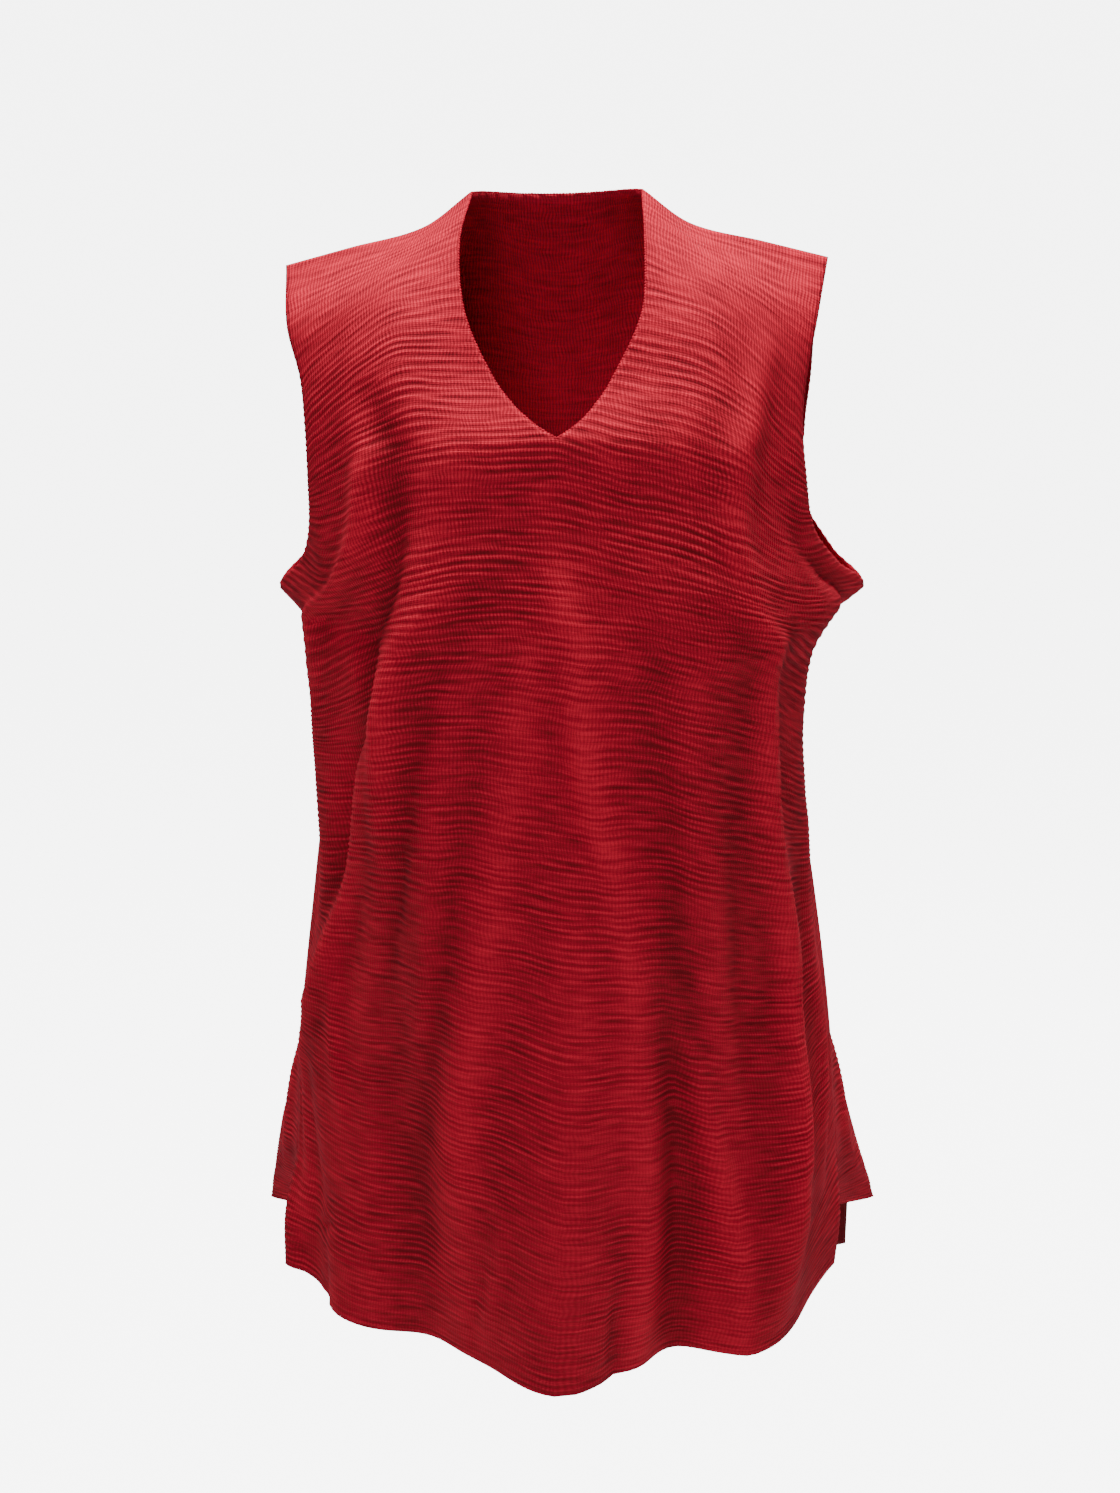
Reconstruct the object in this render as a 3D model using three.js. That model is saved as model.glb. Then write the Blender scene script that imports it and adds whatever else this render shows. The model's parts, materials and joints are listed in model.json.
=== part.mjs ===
// A sleeveless V-neck tunic blouse in crinkle rib knit, in the hollow form it has when worn.
// Millimetres, +Z up, the front faces -Y. The origin lies midway between the shoulders,
// at the height where they carry the garment.
//
// Each panel is a sheet over two cloth directions: the level, measured up the cloth from the
// hem, and the way across from the centre line to the side. Tables give the section of a half
// panel at a few levels, through named stations, and smooth curves run through them both ways.
import * as THREE from 'three';

// ---------------------------------------------------------------- driving dimensions

const WALL = 1.5; // the knit with its ripples
const HEM_WALL = 1.0; // the turned-up layer, pressed flatter
const SEAM_GAP = 0.3; // between two pieces sewn together
const HEM_DEPTH = 51; // the turned-up hem
const VENT_LENGTH = 100; // the side vents, from the hem up
const VENT_TURN = 15; // the allowance turned in along a vent
const DROPPED_TURN = 40; // one back allowance has come unfolded and hangs below the hem
const UNDERARM_LEVEL = 525;
const V_LEVEL = 660; // the point of the V neck
const SHOULDER_LEVEL = 825;
const SHOULDER_TILT = 0.015; // the wearer's left shoulder sits a little higher
const ROW_PITCH = 27; // the most cloth between two mesh rows
const HALF_COLUMNS = 14; // mesh columns from the centre or neck edge to the side
const NECK_COLUMNS = 3; // more columns of the back, under the back neck edge

const RED = { color: 0x9c1620, roughness: 0.82, metalness: 0 };
const INSIDE_RED = { color: 0x6d0c15, roughness: 0.88, metalness: 0 };

// ---------------------------------------------------------------- sections of the panels

// The shoulder seam, from the top of the neck stand out to the tip of the shoulder.
const SHOULDER_SEAM = {
  neck: [54, 10, 33],
  chest: [85, 10, 11.5],
  turn: [132, 9, -0.5],
  side: [173, 8, -11],
};

// The side seam that front and back share, from the top of the vent to the underarm.
// shift moves the whole section to the wearer's left, because the blouse hangs a little askew.
const SIDE_SEAM = [
  { level: 100, shift: 5, side: [200, 22, -655] },
  { level: 200, shift: 4, side: [194, 38, -558] },
  { level: 315, shift: 3, side: [179, 42, -446] },
  { level: 420, shift: 0, side: [162, 42, -341] },
  { level: 460, shift: 0, side: [160, 42, -301] },
  { level: 500, shift: 2, side: [171, 42, -260] },
  { level: 525, shift: 8, side: [200, 40, -231] },
];

// Half sections of the front. neck is the centre front below the V and the neck edge above it,
// chest the line over the bust, turn the line where the front turns to the side.
const FRONT_SECTIONS = [
  { level: 0, neck: [0, -112, -762], chest: [88, -74, -760], turn: [162, -45, -755],
    side: [206, 9, -745], shift: 0 },
  { level: 50, side: [207, 14, -702], shift: 2 },
  { level: 100, neck: [0, -120, -662], chest: [88, -96, -661], turn: [170, -38, -657] },
  { level: 200, neck: [0, -125, -562], chest: [86, -111, -561], turn: [169, -28, -559] },
  { level: 315, neck: [0, -128, -447], chest: [86, -122, -446], turn: [160, -26, -446] },
  { level: 420, neck: [0, -127, -342], chest: [88, -126, -341], turn: [155, -32, -342] },
  { level: 460, neck: [0, -126, -302], chest: [90, -127, -301], turn: [154, -38, -302] },
  { level: 500, neck: [0, -124, -262], chest: [92, -127, -262], turn: [155, -42, -261] },
  { level: 525, neck: [0, -122, -237], chest: [93, -126, -238], turn: [158, -43, -236] },
  { level: 560, neck: [0, -118, -203], chest: [94, -122, -204], turn: [156, -48, -208],
    side: [178, -4, -203], shift: 6 },
  { level: 600, neck: [0, -112, -164], chest: [95, -114, -166], turn: [151, -57, -176],
    side: [162, -40, -174], shift: 1 },
  { level: 660, neck: [0, -101, -105], chest: [96, -99, -112], turn: [148, -60, -131],
    side: [157, -50, -137], shift: -2 },
  { level: 670, neck: [12.5, -97.5, -97.5] },
  { level: 682, neck: [23.5, -92.7, -88] },
  { level: 700, neck: [35.5, -85, -73], chest: [98, -87, -74], turn: [148, -54, -97],
    side: [156, -46, -105], shift: -4 },
  { level: 740, neck: [54, -67, -35], chest: [99, -68, -40], turn: [149, -43, -66],
    side: [159, -37, -76], shift: -4 },
  { level: 780, neck: [57.5, -35, 4], chest: [100, -38, -13], turn: [148, -26, -35],
    side: [167, -22, -45], shift: -5 },
  { level: 825, ...SHOULDER_SEAM, shift: -2 },
];

// Half sections of the back. centre is the centre back, neck the line under the neck stand.
const BACK_SECTIONS = [
  { level: 0, centre: [0, 146, -766], neck: [60, 146, -766], chest: [140, 134, -762],
    turn: [239, 108, -746], side: [207, 75, -734], shift: 10 },
  { level: 100, centre: [0, 134, -667], neck: [60, 134, -667], chest: [135, 125, -663],
    turn: [216, 88, -659] },
  { level: 200, centre: [0, 122, -568], neck: [60, 122, -568], chest: [128, 114, -565],
    turn: [190, 68, -561] },
  { level: 315, centre: [0, 110, -453], neck: [60, 110, -453], chest: [122, 103, -451],
    turn: [172, 73, -448] },
  { level: 420, centre: [0, 102, -347], neck: [60, 102, -347], chest: [118, 96, -346],
    turn: [163, 71, -343] },
  { level: 460, centre: [0, 99, -307], neck: [60, 99, -307], chest: [117, 94, -305],
    turn: [161, 69, -303] },
  { level: 500, centre: [0, 97, -267], neck: [60, 98, -266], chest: [116, 92, -265],
    turn: [161, 67, -262] },
  { level: 525, centre: [0, 96, -242], neck: [60, 97, -241], chest: [115, 91, -240],
    turn: [162, 66, -237] },
  { level: 560, centre: [0, 96, -208], neck: [60, 97, -206], chest: [114, 91, -205],
    turn: [159, 68, -205], side: [181, 52, -206], shift: 7 },
  { level: 600, centre: [0, 97, -170], neck: [60, 98, -167], chest: [112, 90, -167],
    turn: [153, 71, -169], side: [163, 58, -172], shift: 4 },
  { level: 660, centre: [0, 97, -113], neck: [61, 94, -106], chest: [110, 86, -111],
    turn: [148, 69, -117], side: [163, 56, -122], shift: 3 },
  { level: 700, centre: [0, 94, -77], neck: [63, 86, -67], chest: [110, 79, -76],
    turn: [147, 64, -83], side: [165, 50, -89], shift: 3 },
  { level: 740, centre: [0, 88, -42], neck: [64, 71, -29], chest: [110, 65, -44],
    turn: [146, 53, -52], side: [167, 41, -60], shift: 1 },
  { level: 780, centre: [0, 78, -8], neck: [62, 44, 4], chest: [106, 42, -16],
    turn: [144, 35, -28], side: [169, 27, -35], shift: -1 },
  { level: 825, centre: [0, 62, 29], ...SHOULDER_SEAM, shift: -2 },
];

// Large folds: ridges (positive) and troughs (negative) that run up a panel. across goes from
// -1 at the wearer's right side through 0 at the centre to 1 at the left side.
const FRONT_FOLDS = [
  { name: 'centre flute', from: -440, to: 440, across: -0.02, lean: 0.03, width: 40, height: 18 },
  { name: 'left hem lobe', from: -260, to: 260, across: 0.56, lean: 0.02, width: 38, height: 27 },
  { name: 'right hem trough', from: -230, to: 230, across: -0.41, lean: 0, width: 24, height: -7 },
  { name: 'right vent trough', from: -200, to: 200, across: -0.86, lean: 0, width: 26, height: -12 },
  { name: 'right bust trough', from: 250, to: 590, across: -0.66, lean: 0.06, width: 26, height: -8 },
  { name: 'right bust ridge', from: 90, to: 560, across: -0.8, lean: 0.12, width: 24, height: 6 },
  { name: 'left bust ridge', from: 330, to: 560, across: 0.76, lean: -0.05, width: 24, height: 5 },
];
const BACK_FOLDS = [
  { name: 'centre back trough', from: 60, to: 560, across: -0.05, lean: 0.02, width: 34, height: -8 },
  { name: 'left back flute', from: -420, to: 420, across: 0.3, lean: -0.04, width: 32, height: 11 },
  { name: 'right back flute', from: -360, to: 360, across: -0.36, lean: 0.05, width: 34, height: 12 },
  { name: 'left waist ridge', from: 150, to: 540, across: 0.56, lean: 0.08, width: 28, height: 7 },
  { name: 'right waist ridge', from: 120, to: 500, across: -0.58, lean: -0.06, width: 28, height: 8 },
];

// ---------------------------------------------------------------- curves

const CURVE_SAMPLES = 160; // points of a dense curve, from which the mesh columns are taken
const ACROSS = new THREE.Vector3(1, 0, 0);

const smoothstep = (low, high, value) => THREE.MathUtils.smoothstep(value, low, high);

// A point at t, 0 to 1, of the cubic between two points with given slopes over a span.
function hermite(start, end, startSlope, endSlope, span, t) {
  const t2 = t * t;
  const t3 = t2 * t;
  return new THREE.Vector3()
    .addScaledVector(start, 2 * t3 - 3 * t2 + 1)
    .addScaledVector(end, 3 * t2 - 2 * t3)
    .addScaledVector(startSlope, (t3 - 2 * t2 + t) * span)
    .addScaledVector(endSlope, (t3 - t2) * span);
}

// A point on the smooth curve that runs through points at the given knots.
function splineAt(knots, points, at) {
  let i = 0;
  while (i < knots.length - 2 && at > knots[i + 1]) {
    i += 1;
  }
  const slope = (k) => {
    const low = Math.max(k - 1, 0);
    const high = Math.min(k + 1, knots.length - 1);
    return points[high].clone().sub(points[low]).divideScalar(knots[high] - knots[low]);
  };
  const span = knots[i + 1] - knots[i];
  return hermite(points[i], points[i + 1], slope(i), slope(i + 1), span, (at - knots[i]) / span);
}

// The lengths from the first of a list of points to each of them.
function runningLengths(points) {
  const lengths = [0];
  for (let i = 1; i < points.length; i += 1) {
    lengths.push(lengths[i - 1] + points[i].distanceTo(points[i - 1]));
  }
  return lengths;
}

// A dense curve through stations, with its slope at the first of them given.
function stationCurve(stations, firstSlope) {
  const knots = runningLengths(stations);
  const before = stations[0].clone().addScaledVector(firstSlope, -knots[1]);
  const step = knots.at(-1) / CURVE_SAMPLES;
  return Array.from({ length: CURVE_SAMPLES + 1 }, (_, i) => (
    i ? splineAt([-knots[1], ...knots], [before, ...stations], i * step) : stations[0].clone()));
}

// Points spread evenly along a dense curve. An edge width other than 0 is the last column's.
function spread(curve, columns, edgeWidth) {
  const lengths = runningLengths(curve);
  const total = lengths.at(-1);
  const even = edgeWidth ? columns - 1 : columns;
  const marks = Array.from({ length: even + 1 }, (_, j) => ((total - edgeWidth) * j) / even);
  if (edgeWidth) {
    marks.push(total);
  }
  return marks.map((mark) => {
    let i = 1;
    while (i < lengths.length - 1 && lengths[i] < mark) {
      i += 1;
    }
    const part = (mark - lengths[i - 1]) / (lengths[i] - lengths[i - 1]);
    return curve[i - 1].clone().lerp(curve[i], part);
  });
}

// One station of a table at any level, from the rows that give it. Between the vent and the
// underarm the side comes from the side seam alone, so that front and back agree there. Above
// the V the neck comes from the rows there alone, so that the neck edge leaves it at an angle.
function stationAt(table, name, level) {
  const atSeam = level >= VENT_LENGTH && level <= UNDERARM_LEVEL;
  const source = (name === 'side' || name === 'shift') && atSeam ? SIDE_SEAM : table;
  const lowest = name === 'neck' && level > V_LEVEL ? V_LEVEL : 0;
  const rows = source.filter((row) => row[name] !== undefined && row.level >= lowest);
  const values = rows.map((row) => new THREE.Vector3(...[row[name]].flat(), 0, 0));
  return splineAt(rows.map((row) => row.level), values, level);
}

// ---------------------------------------------------------------- the panels

const V_BLEND = [V_LEVEL - 40, V_LEVEL + 60]; // the front's middle turns from flat to free
const NECK_BLEND = [SHOULDER_LEVEL - 90, SHOULDER_LEVEL]; // the back's neck gets its corner
const INTO_NECK = new THREE.Vector3(0.25, -1, 0); // the back neck edge where it meets the stand
const NECK_FULLNESS = 0.25; // how much rounder than a plain cubic the back neck edge is

const FRONT = {
  table: [...FRONT_SECTIONS, ...SIDE_SEAM].sort((a, b) => a.level - b.level),
  folds: FRONT_FOLDS,
  half: frontHalf,
  faces: 1, // a fold pushes the front towards -Y
};
const BACK = {
  table: [...BACK_SECTIONS, ...SIDE_SEAM].sort((a, b) => a.level - b.level),
  folds: BACK_FOLDS,
  half: backHalf,
  faces: -1,
};

// Half of a front section: columns from the centre or the neck edge to the side.
function frontHalf(level) {
  const names = ['neck', 'chest', 'turn', 'side'];
  const stations = names.map((name) => stationAt(FRONT.table, name, level));
  const [neck, chest] = stations;
  if (level <= V_LEVEL) {
    neck.setX(0);
  }
  const free = chest.clone().sub(neck).normalize();
  const slope = ACROSS.clone().lerp(free, smoothstep(...V_BLEND, level));
  return spread(stationCurve(stations, slope), HALF_COLUMNS, VENT_TURN);
}

// Half of a back section: the columns under the neck edge, then those to the side.
function backHalf(level) {
  const names = ['centre', 'neck', 'chest', 'turn', 'side'];
  const [centre, ...stations] = names.map((name) => stationAt(BACK.table, name, level));
  const [neck, chest] = stations;
  const corner = smoothstep(...NECK_BLEND, level);
  const flowing = chest.clone().sub(centre).normalize();
  const intoNeck = flowing.clone().lerp(INTO_NECK, corner).normalize();
  const outOfNeck = flowing.clone().lerp(chest.clone().sub(neck).normalize(), corner);
  const span = neck.distanceTo(centre) * (1 + NECK_FULLNESS * corner);
  const underNeck = Array.from({ length: CURVE_SAMPLES + 1 }, (_, i) => (
    hermite(centre, neck, ACROSS, intoNeck, span, i / CURVE_SAMPLES)));
  const inner = spread(underNeck, NECK_COLUMNS, 0);
  const outer = spread(stationCurve(stations, outOfNeck), HALF_COLUMNS, VENT_TURN);
  return [...inner, ...outer.slice(1)];
}

// How far the folds push the cloth out at a place on a panel.
function foldHeight(folds, across, level, halfWidth) {
  return folds.reduce((height, fold) => {
    const along = (level - fold.from) / (fold.to - fold.from);
    if (along <= 0 || along >= 1) {
      return height;
    }
    const centre = fold.across + fold.lean * along;
    const offset = ((across - centre) * halfWidth) / fold.width;
    return height + fold.height * Math.sin(Math.PI * along) * Math.exp(-offset * offset);
  }, 0);
}

// The levels of the mesh rows, with a row at each level that matters.
function meshLevels() {
  const marks = [0, HEM_DEPTH, VENT_LENGTH, UNDERARM_LEVEL, V_LEVEL, SHOULDER_LEVEL];
  const levels = [0];
  for (let i = 1; i < marks.length; i += 1) {
    const rise = marks[i] - marks[i - 1];
    const steps = Math.ceil(rise / ROW_PITCH);
    for (let k = 1; k <= steps; k += 1) {
      levels.push(marks[i - 1] + (rise * k) / steps);
    }
  }
  return levels;
}

const LEVELS = meshLevels();
const HEM_ROW = LEVELS.indexOf(HEM_DEPTH);
const VENT_ROW = LEVELS.indexOf(VENT_LENGTH);
const UNDERARM_ROW = LEVELS.indexOf(UNDERARM_LEVEL);
const V_ROW = LEVELS.indexOf(V_LEVEL);
const TOP_ROW = LEVELS.length - 1;

// One half of a mesh row, from the centre or neck edge to the side: the section with its folds,
// mirrored for the right side (sign -1), shifted and tilted as the blouse hangs.
function halfRow(panel, row, sign) {
  const level = LEVELS[row];
  const section = panel.half(level);
  const width = runningLengths(section).at(-1);
  const last = section.length - 1;
  const shift = stationAt(panel.table, 'shift', level).x;
  const tilt = SHOULDER_TILT * smoothstep(UNDERARM_LEVEL, SHOULDER_LEVEL, level);
  const isOpen = panel === FRONT && row > V_ROW;
  return section.map((point, j) => {
    const run = section[Math.min(j + 1, last)].clone().sub(section[Math.max(j - 1, 0)]);
    const out = j || isOpen ? new THREE.Vector3(run.y, -run.x, 0) : new THREE.Vector3(0, -1, 0);
    const isSewn = j === last || row === TOP_ROW;
    const height = isSewn ? 0 : foldHeight(panel.folds, (sign * j) / last, level, width);
    const moved = point.clone().addScaledVector(out.normalize(), panel.faces * height);
    const x = sign * moved.x + shift;
    return new THREE.Vector3(x, moved.y, moved.z + tilt * x);
  });
}

// A panel's middle surface: its points, the rows of their indices from the right side to the
// left side, and the four-sided cells between them, facing out. Above the V the front's rows
// hold the neck edge twice, once for each side.
function makeSheet(panel) {
  const points = [];
  const isOpen = (row) => panel === FRONT && row > V_ROW;
  const rows = LEVELS.map((_, row) => {
    const right = halfRow(panel, row, -1).reverse();
    const left = halfRow(panel, row, 1);
    return [...right, ...left.slice(isOpen(row) ? 0 : 1)].map((point) => points.push(point) - 1);
  });
  const middle = (rows[0].length - 1) / 2;
  const cells = [];
  for (let row = 0; row < TOP_ROW; row += 1) {
    for (let column = 0; column < 2 * middle; column += 1) {
      const isLeft = column >= middle;
      const at = (r, c) => rows[r][isLeft && isOpen(r) ? c + 1 : c];
      const cell = [at(row, column), at(row, column + 1), at(row + 1, column + 1), at(row + 1, column)];
      cells.push(panel.faces > 0 ? cell : cell.reverse());
    }
  }
  return { points, rows, cells, faces: panel.faces };
}

// ---------------------------------------------------------------- walls and seams

const SHARPEST_TURN = 0.4; // the least squared length of a mean normal, at a very sharp turn
const SHARPEST_MITRE = 0.6;

// The offset at each point of a sheet that moves all the cells around it out by one unit:
// their mean normal, longer where they meet at an angle.
function sheetNormals({ points, cells }) {
  const sums = points.map(() => new THREE.Vector3());
  const counts = points.map(() => 0);
  cells.forEach((cell) => {
    const [a, b, c, d] = cell.map((index) => points[index]);
    const face = c.clone().sub(a).cross(d.clone().sub(b)).normalize();
    cell.forEach((index) => {
      sums[index].add(face);
      counts[index] += 1;
    });
  });
  return sums.map((sum, index) => {
    const mean = sum.divideScalar(counts[index]);
    return mean.divideScalar(Math.max(mean.lengthSq(), SHARPEST_TURN));
  });
}

// The open edges of a sheet, each from one index to the next as its cell runs.
function openEdges(cells) {
  const edges = new Map();
  cells.forEach((cell) => cell.forEach((from, k) => {
    const to = cell[(k + 1) % cell.length];
    if (!edges.delete(`${to},${from}`)) {
      edges.set(`${from},${to}`, [from, to]);
    }
  }));
  return edges;
}

// Gives a sheet its wall, around a middle moved out by middle: both faces and a rim.
function wall({ points, normals, cells }, thickness, middle = 0) {
  const count = points.length;
  const triangles = [];
  const quad = (a, b, c, d) => triangles.push(a, b, c, a, c, d);
  cells.forEach(([a, b, c, d]) => {
    quad(a, b, c, d);
    quad(c + count, b + count, a + count, d + count);
  });
  openEdges(cells).forEach(([from, to]) => quad(from, from + count, to + count, to));
  const layer = (height) => points.flatMap((point, index) => (
    point.clone().addScaledVector(normals[index], height).toArray()));
  const positions = [...layer(middle + thickness / 2), ...layer(middle - thickness / 2)];
  const geometry = new THREE.BufferGeometry();
  geometry.setAttribute('position', new THREE.Float32BufferAttribute(positions, 3));
  geometry.setIndex(triangles);
  geometry.computeVertexNormals();
  return geometry;
}

// Turns the edges of two sheets at their seam, so that their walls meet in one plane a gap
// apart. Each pair holds both sheets' edge point and the point inside it.
function sew(first, second, pairs) {
  pairs.forEach((pair) => {
    const sides = [
      { sheet: first, edge: pair[0], inside: pair[1] },
      { sheet: second, edge: pair[2], inside: pair[3] },
    ];
    const normals = sides.map(({ sheet, edge }) => sheet.normals[edge].clone().normalize());
    const shared = normals[0].clone().add(normals[1]).normalize();
    const scale = 1 / Math.max(shared.dot(normals[0]), SHARPEST_MITRE);
    const inward = sides.map(({ sheet, edge, inside }) => {
      const into = sheet.points[inside].clone().sub(sheet.points[edge]);
      return into.addScaledVector(shared, -into.dot(shared)).normalize();
    });
    sides.forEach(({ sheet, edge }, k) => {
      sheet.points[edge].addScaledVector(inward[k], SEAM_GAP / 2);
      sheet.normals[edge] = shared.clone().multiplyScalar(scale);
    });
  });
}

// Part of a sheet as a sheet of its own, from lists of its rows and of its columns.
function patch(sheet, rowList, columnList) {
  const indices = rowList.flatMap((row) => columnList.map((column) => sheet.rows[row].at(column)));
  const width = columnList.length;
  const cells = [];
  for (let a = 0; a < indices.length - width; a += 1) {
    if ((a + 1) % width) {
      const cell = [a, a + 1, a + 1 + width, a + width];
      cells.push(sheet.faces > 0 ? cell : cell.reverse());
    }
  }
  return {
    points: indices.map((index) => sheet.points[index].clone()),
    normals: indices.map((index) => sheet.normals[index].clone()),
    cells,
  };
}

const range = (from, to) => Array.from({ length: to - from + 1 }, (_, i) => from + i);

// ---------------------------------------------------------------- the blouse

const front = makeSheet(FRONT);
const back = makeSheet(BACK);
front.normals = sheetNormals(front);
back.normals = sheetNormals(back);

// The pair of points at one place of the side seam, on the side that the columns give.
const sidePair = (row, edge, inside) => (
  [front, back].flatMap((sheet) => [sheet.rows[row].at(edge), sheet.rows[row].at(inside)]));
const shoulderPair = (column) => (
  [front, back].flatMap(({ rows }) => [rows[TOP_ROW].at(column), rows[TOP_ROW - 1].at(column)]));

sew(front, back, [
  ...range(VENT_ROW, UNDERARM_ROW).flatMap((row) => [sidePair(row, 0, 1), sidePair(row, -1, -2)]),
  ...range(0, HALF_COLUMNS).flatMap((column) => [shoulderPair(column), shoulderPair(-1 - column)]),
]);

const HEM_INSET = -(WALL / 2 + SEAM_GAP + HEM_WALL / 2);
const VENT_INSET = HEM_INSET - HEM_WALL - 2 * SEAM_GAP;
const VENT_EDGE_INSET = 2; // a turned allowance lies this far inside the edge of its vent

const blouse = new THREE.Group();

function addMesh(name, geometry, finish) {
  const mesh = new THREE.Mesh(geometry, new THREE.MeshStandardMaterial(finish));
  mesh.name = name;
  blouse.add(mesh);
}

// The turned-up hem, inside its panel.
function addHem(name, sheet) {
  const hem = patch(sheet, range(0, HEM_ROW), range(0, sheet.rows[0].length - 1));
  addMesh(name, wall(hem, HEM_WALL, HEM_INSET), INSIDE_RED);
}

// The allowance along a vent, inside the hem, with the part that hangs below the hem by a drop.
function addVent(name, sheet, side, drop) {
  const rowList = drop > 0 ? [0, ...range(0, VENT_ROW)] : range(0, VENT_ROW);
  const [columnList, edge] = side === 'right' ? [[0, 1], 0] : [[-2, -1], 1];
  const turn = patch(sheet, rowList, columnList);
  for (let i = 0; i < turn.points.length; i += 2) {
    const inward = turn.points[i + 1 - edge].clone().sub(turn.points[i + edge]).normalize();
    turn.points[i + edge].addScaledVector(inward, VENT_EDGE_INSET);
  }
  turn.points.slice(0, 2).forEach((point) => point.setZ(point.z - drop));
  addMesh(name, wall(turn, HEM_WALL, VENT_INSET), INSIDE_RED);
}

addMesh('front_panel', wall(front, WALL), RED);
addMesh('back_panel', wall(back, WALL), RED);
addHem('front_hem', front);
addHem('back_hem', back);
['right', 'left'].forEach((side) => {
  addVent(`front_vent_${side}`, front, side, 0);
  addVent(`back_vent_${side}`, back, side, side === 'left' ? DROPPED_TURN : 0);
});

export default blouse;
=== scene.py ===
"""A sleeveless V-neck tunic blouse in crinkle rib knit, in the hollow form it has when worn.

Metres, +Z up, the front faces -Y. Each panel is a sheet over two cloth directions: the level,
measured up the cloth from the hem, and the way across, from -1 at the wearer's right side seam
through 0 at the centre to 1 at the left one. Tables give the section of half a panel at a few
levels, in millimetres, and smooth curves run through them both ways.
"""

import json
import logging
import math
from dataclasses import dataclass, field
from enum import Enum

import bpy
import numpy as np
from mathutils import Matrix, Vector

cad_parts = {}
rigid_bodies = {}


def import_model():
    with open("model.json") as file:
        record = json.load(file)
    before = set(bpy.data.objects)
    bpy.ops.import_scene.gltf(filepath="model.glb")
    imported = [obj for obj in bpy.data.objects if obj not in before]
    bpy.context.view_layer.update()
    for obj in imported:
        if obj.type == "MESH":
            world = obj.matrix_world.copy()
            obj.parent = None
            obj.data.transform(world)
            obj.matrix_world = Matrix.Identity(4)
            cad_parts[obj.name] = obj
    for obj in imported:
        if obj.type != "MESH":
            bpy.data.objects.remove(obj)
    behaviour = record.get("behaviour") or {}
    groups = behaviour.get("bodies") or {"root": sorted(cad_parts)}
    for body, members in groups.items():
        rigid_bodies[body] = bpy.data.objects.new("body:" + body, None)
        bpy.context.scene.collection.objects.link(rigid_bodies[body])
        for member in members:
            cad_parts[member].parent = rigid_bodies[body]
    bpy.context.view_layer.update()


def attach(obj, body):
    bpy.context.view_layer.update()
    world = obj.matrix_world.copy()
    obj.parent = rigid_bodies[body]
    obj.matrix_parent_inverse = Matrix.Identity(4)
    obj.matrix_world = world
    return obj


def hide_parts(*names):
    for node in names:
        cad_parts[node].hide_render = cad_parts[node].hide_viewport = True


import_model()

log = logging.getLogger("blouse")

MM = 0.001

# ------------------------------------------------------------------ sizes of the blouse

WALL = 1.5 * MM
HEM_WALL = 1.0 * MM
SEAM_GAP = 0.3 * MM
SEAM_LAP = 0.12 * MM  # by which the edges at a seam bite into each other, so that it is closed
HEM_DEPTH = 51.0
VENT_LENGTH = 100.0
VENT_TURN = 15.0
DROPPED_TURN = 40.0
UNDERARM_LEVEL = 525.0
V_LEVEL = 660.0
SHOULDER_LEVEL = 825.0
SHOULDER_TILT = 0.015  # mm that the left shoulder is up for each mm across
V_BLEND = (V_LEVEL - 40, V_LEVEL + 60)  # levels over which the centre opens into the V
NECK_BLEND = (SHOULDER_LEVEL - 90, SHOULDER_LEVEL)  # levels over which the back neck stand rises
SHOULDER_BLEND = (SHOULDER_LEVEL - 27, SHOULDER_LEVEL)  # levels over which the folds die away


@dataclass(frozen=True)
class Cut:
    """The flat cloth of a panel as far as it shows, without what is turned in."""

    width: float  # mm, where it is widest
    length: float  # mm
    area: float  # square metres


# ------------------------------------------------------------------ sections of the panels

# The shoulder seam, from the top of the neck stand out to the tip of the shoulder.
SHOULDER_SEAM = {
    "neck": (54, 10, 33),
    "chest": (85, 10, 11.5),
    "turn": (132, 9, -0.5),
    "side": (173, 8, -11),
}

# The side seam that front and back share, from the top of the vent to the underarm. The shift
# moves the whole section to the wearer's left, because the blouse hangs a little askew.
SIDE_SEAM = [
    {"level": 100, "shift": 5, "side": (200, 22, -655)},
    {"level": 200, "shift": 4, "side": (194, 38, -558)},
    {"level": 315, "shift": 3, "side": (179, 42, -446)},
    {"level": 420, "shift": 0, "side": (162, 42, -341)},
    {"level": 460, "shift": 0, "side": (160, 42, -301)},
    {"level": 500, "shift": 2, "side": (171, 42, -260)},
    {"level": 525, "shift": 8, "side": (200, 40, -231)},
]

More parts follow.
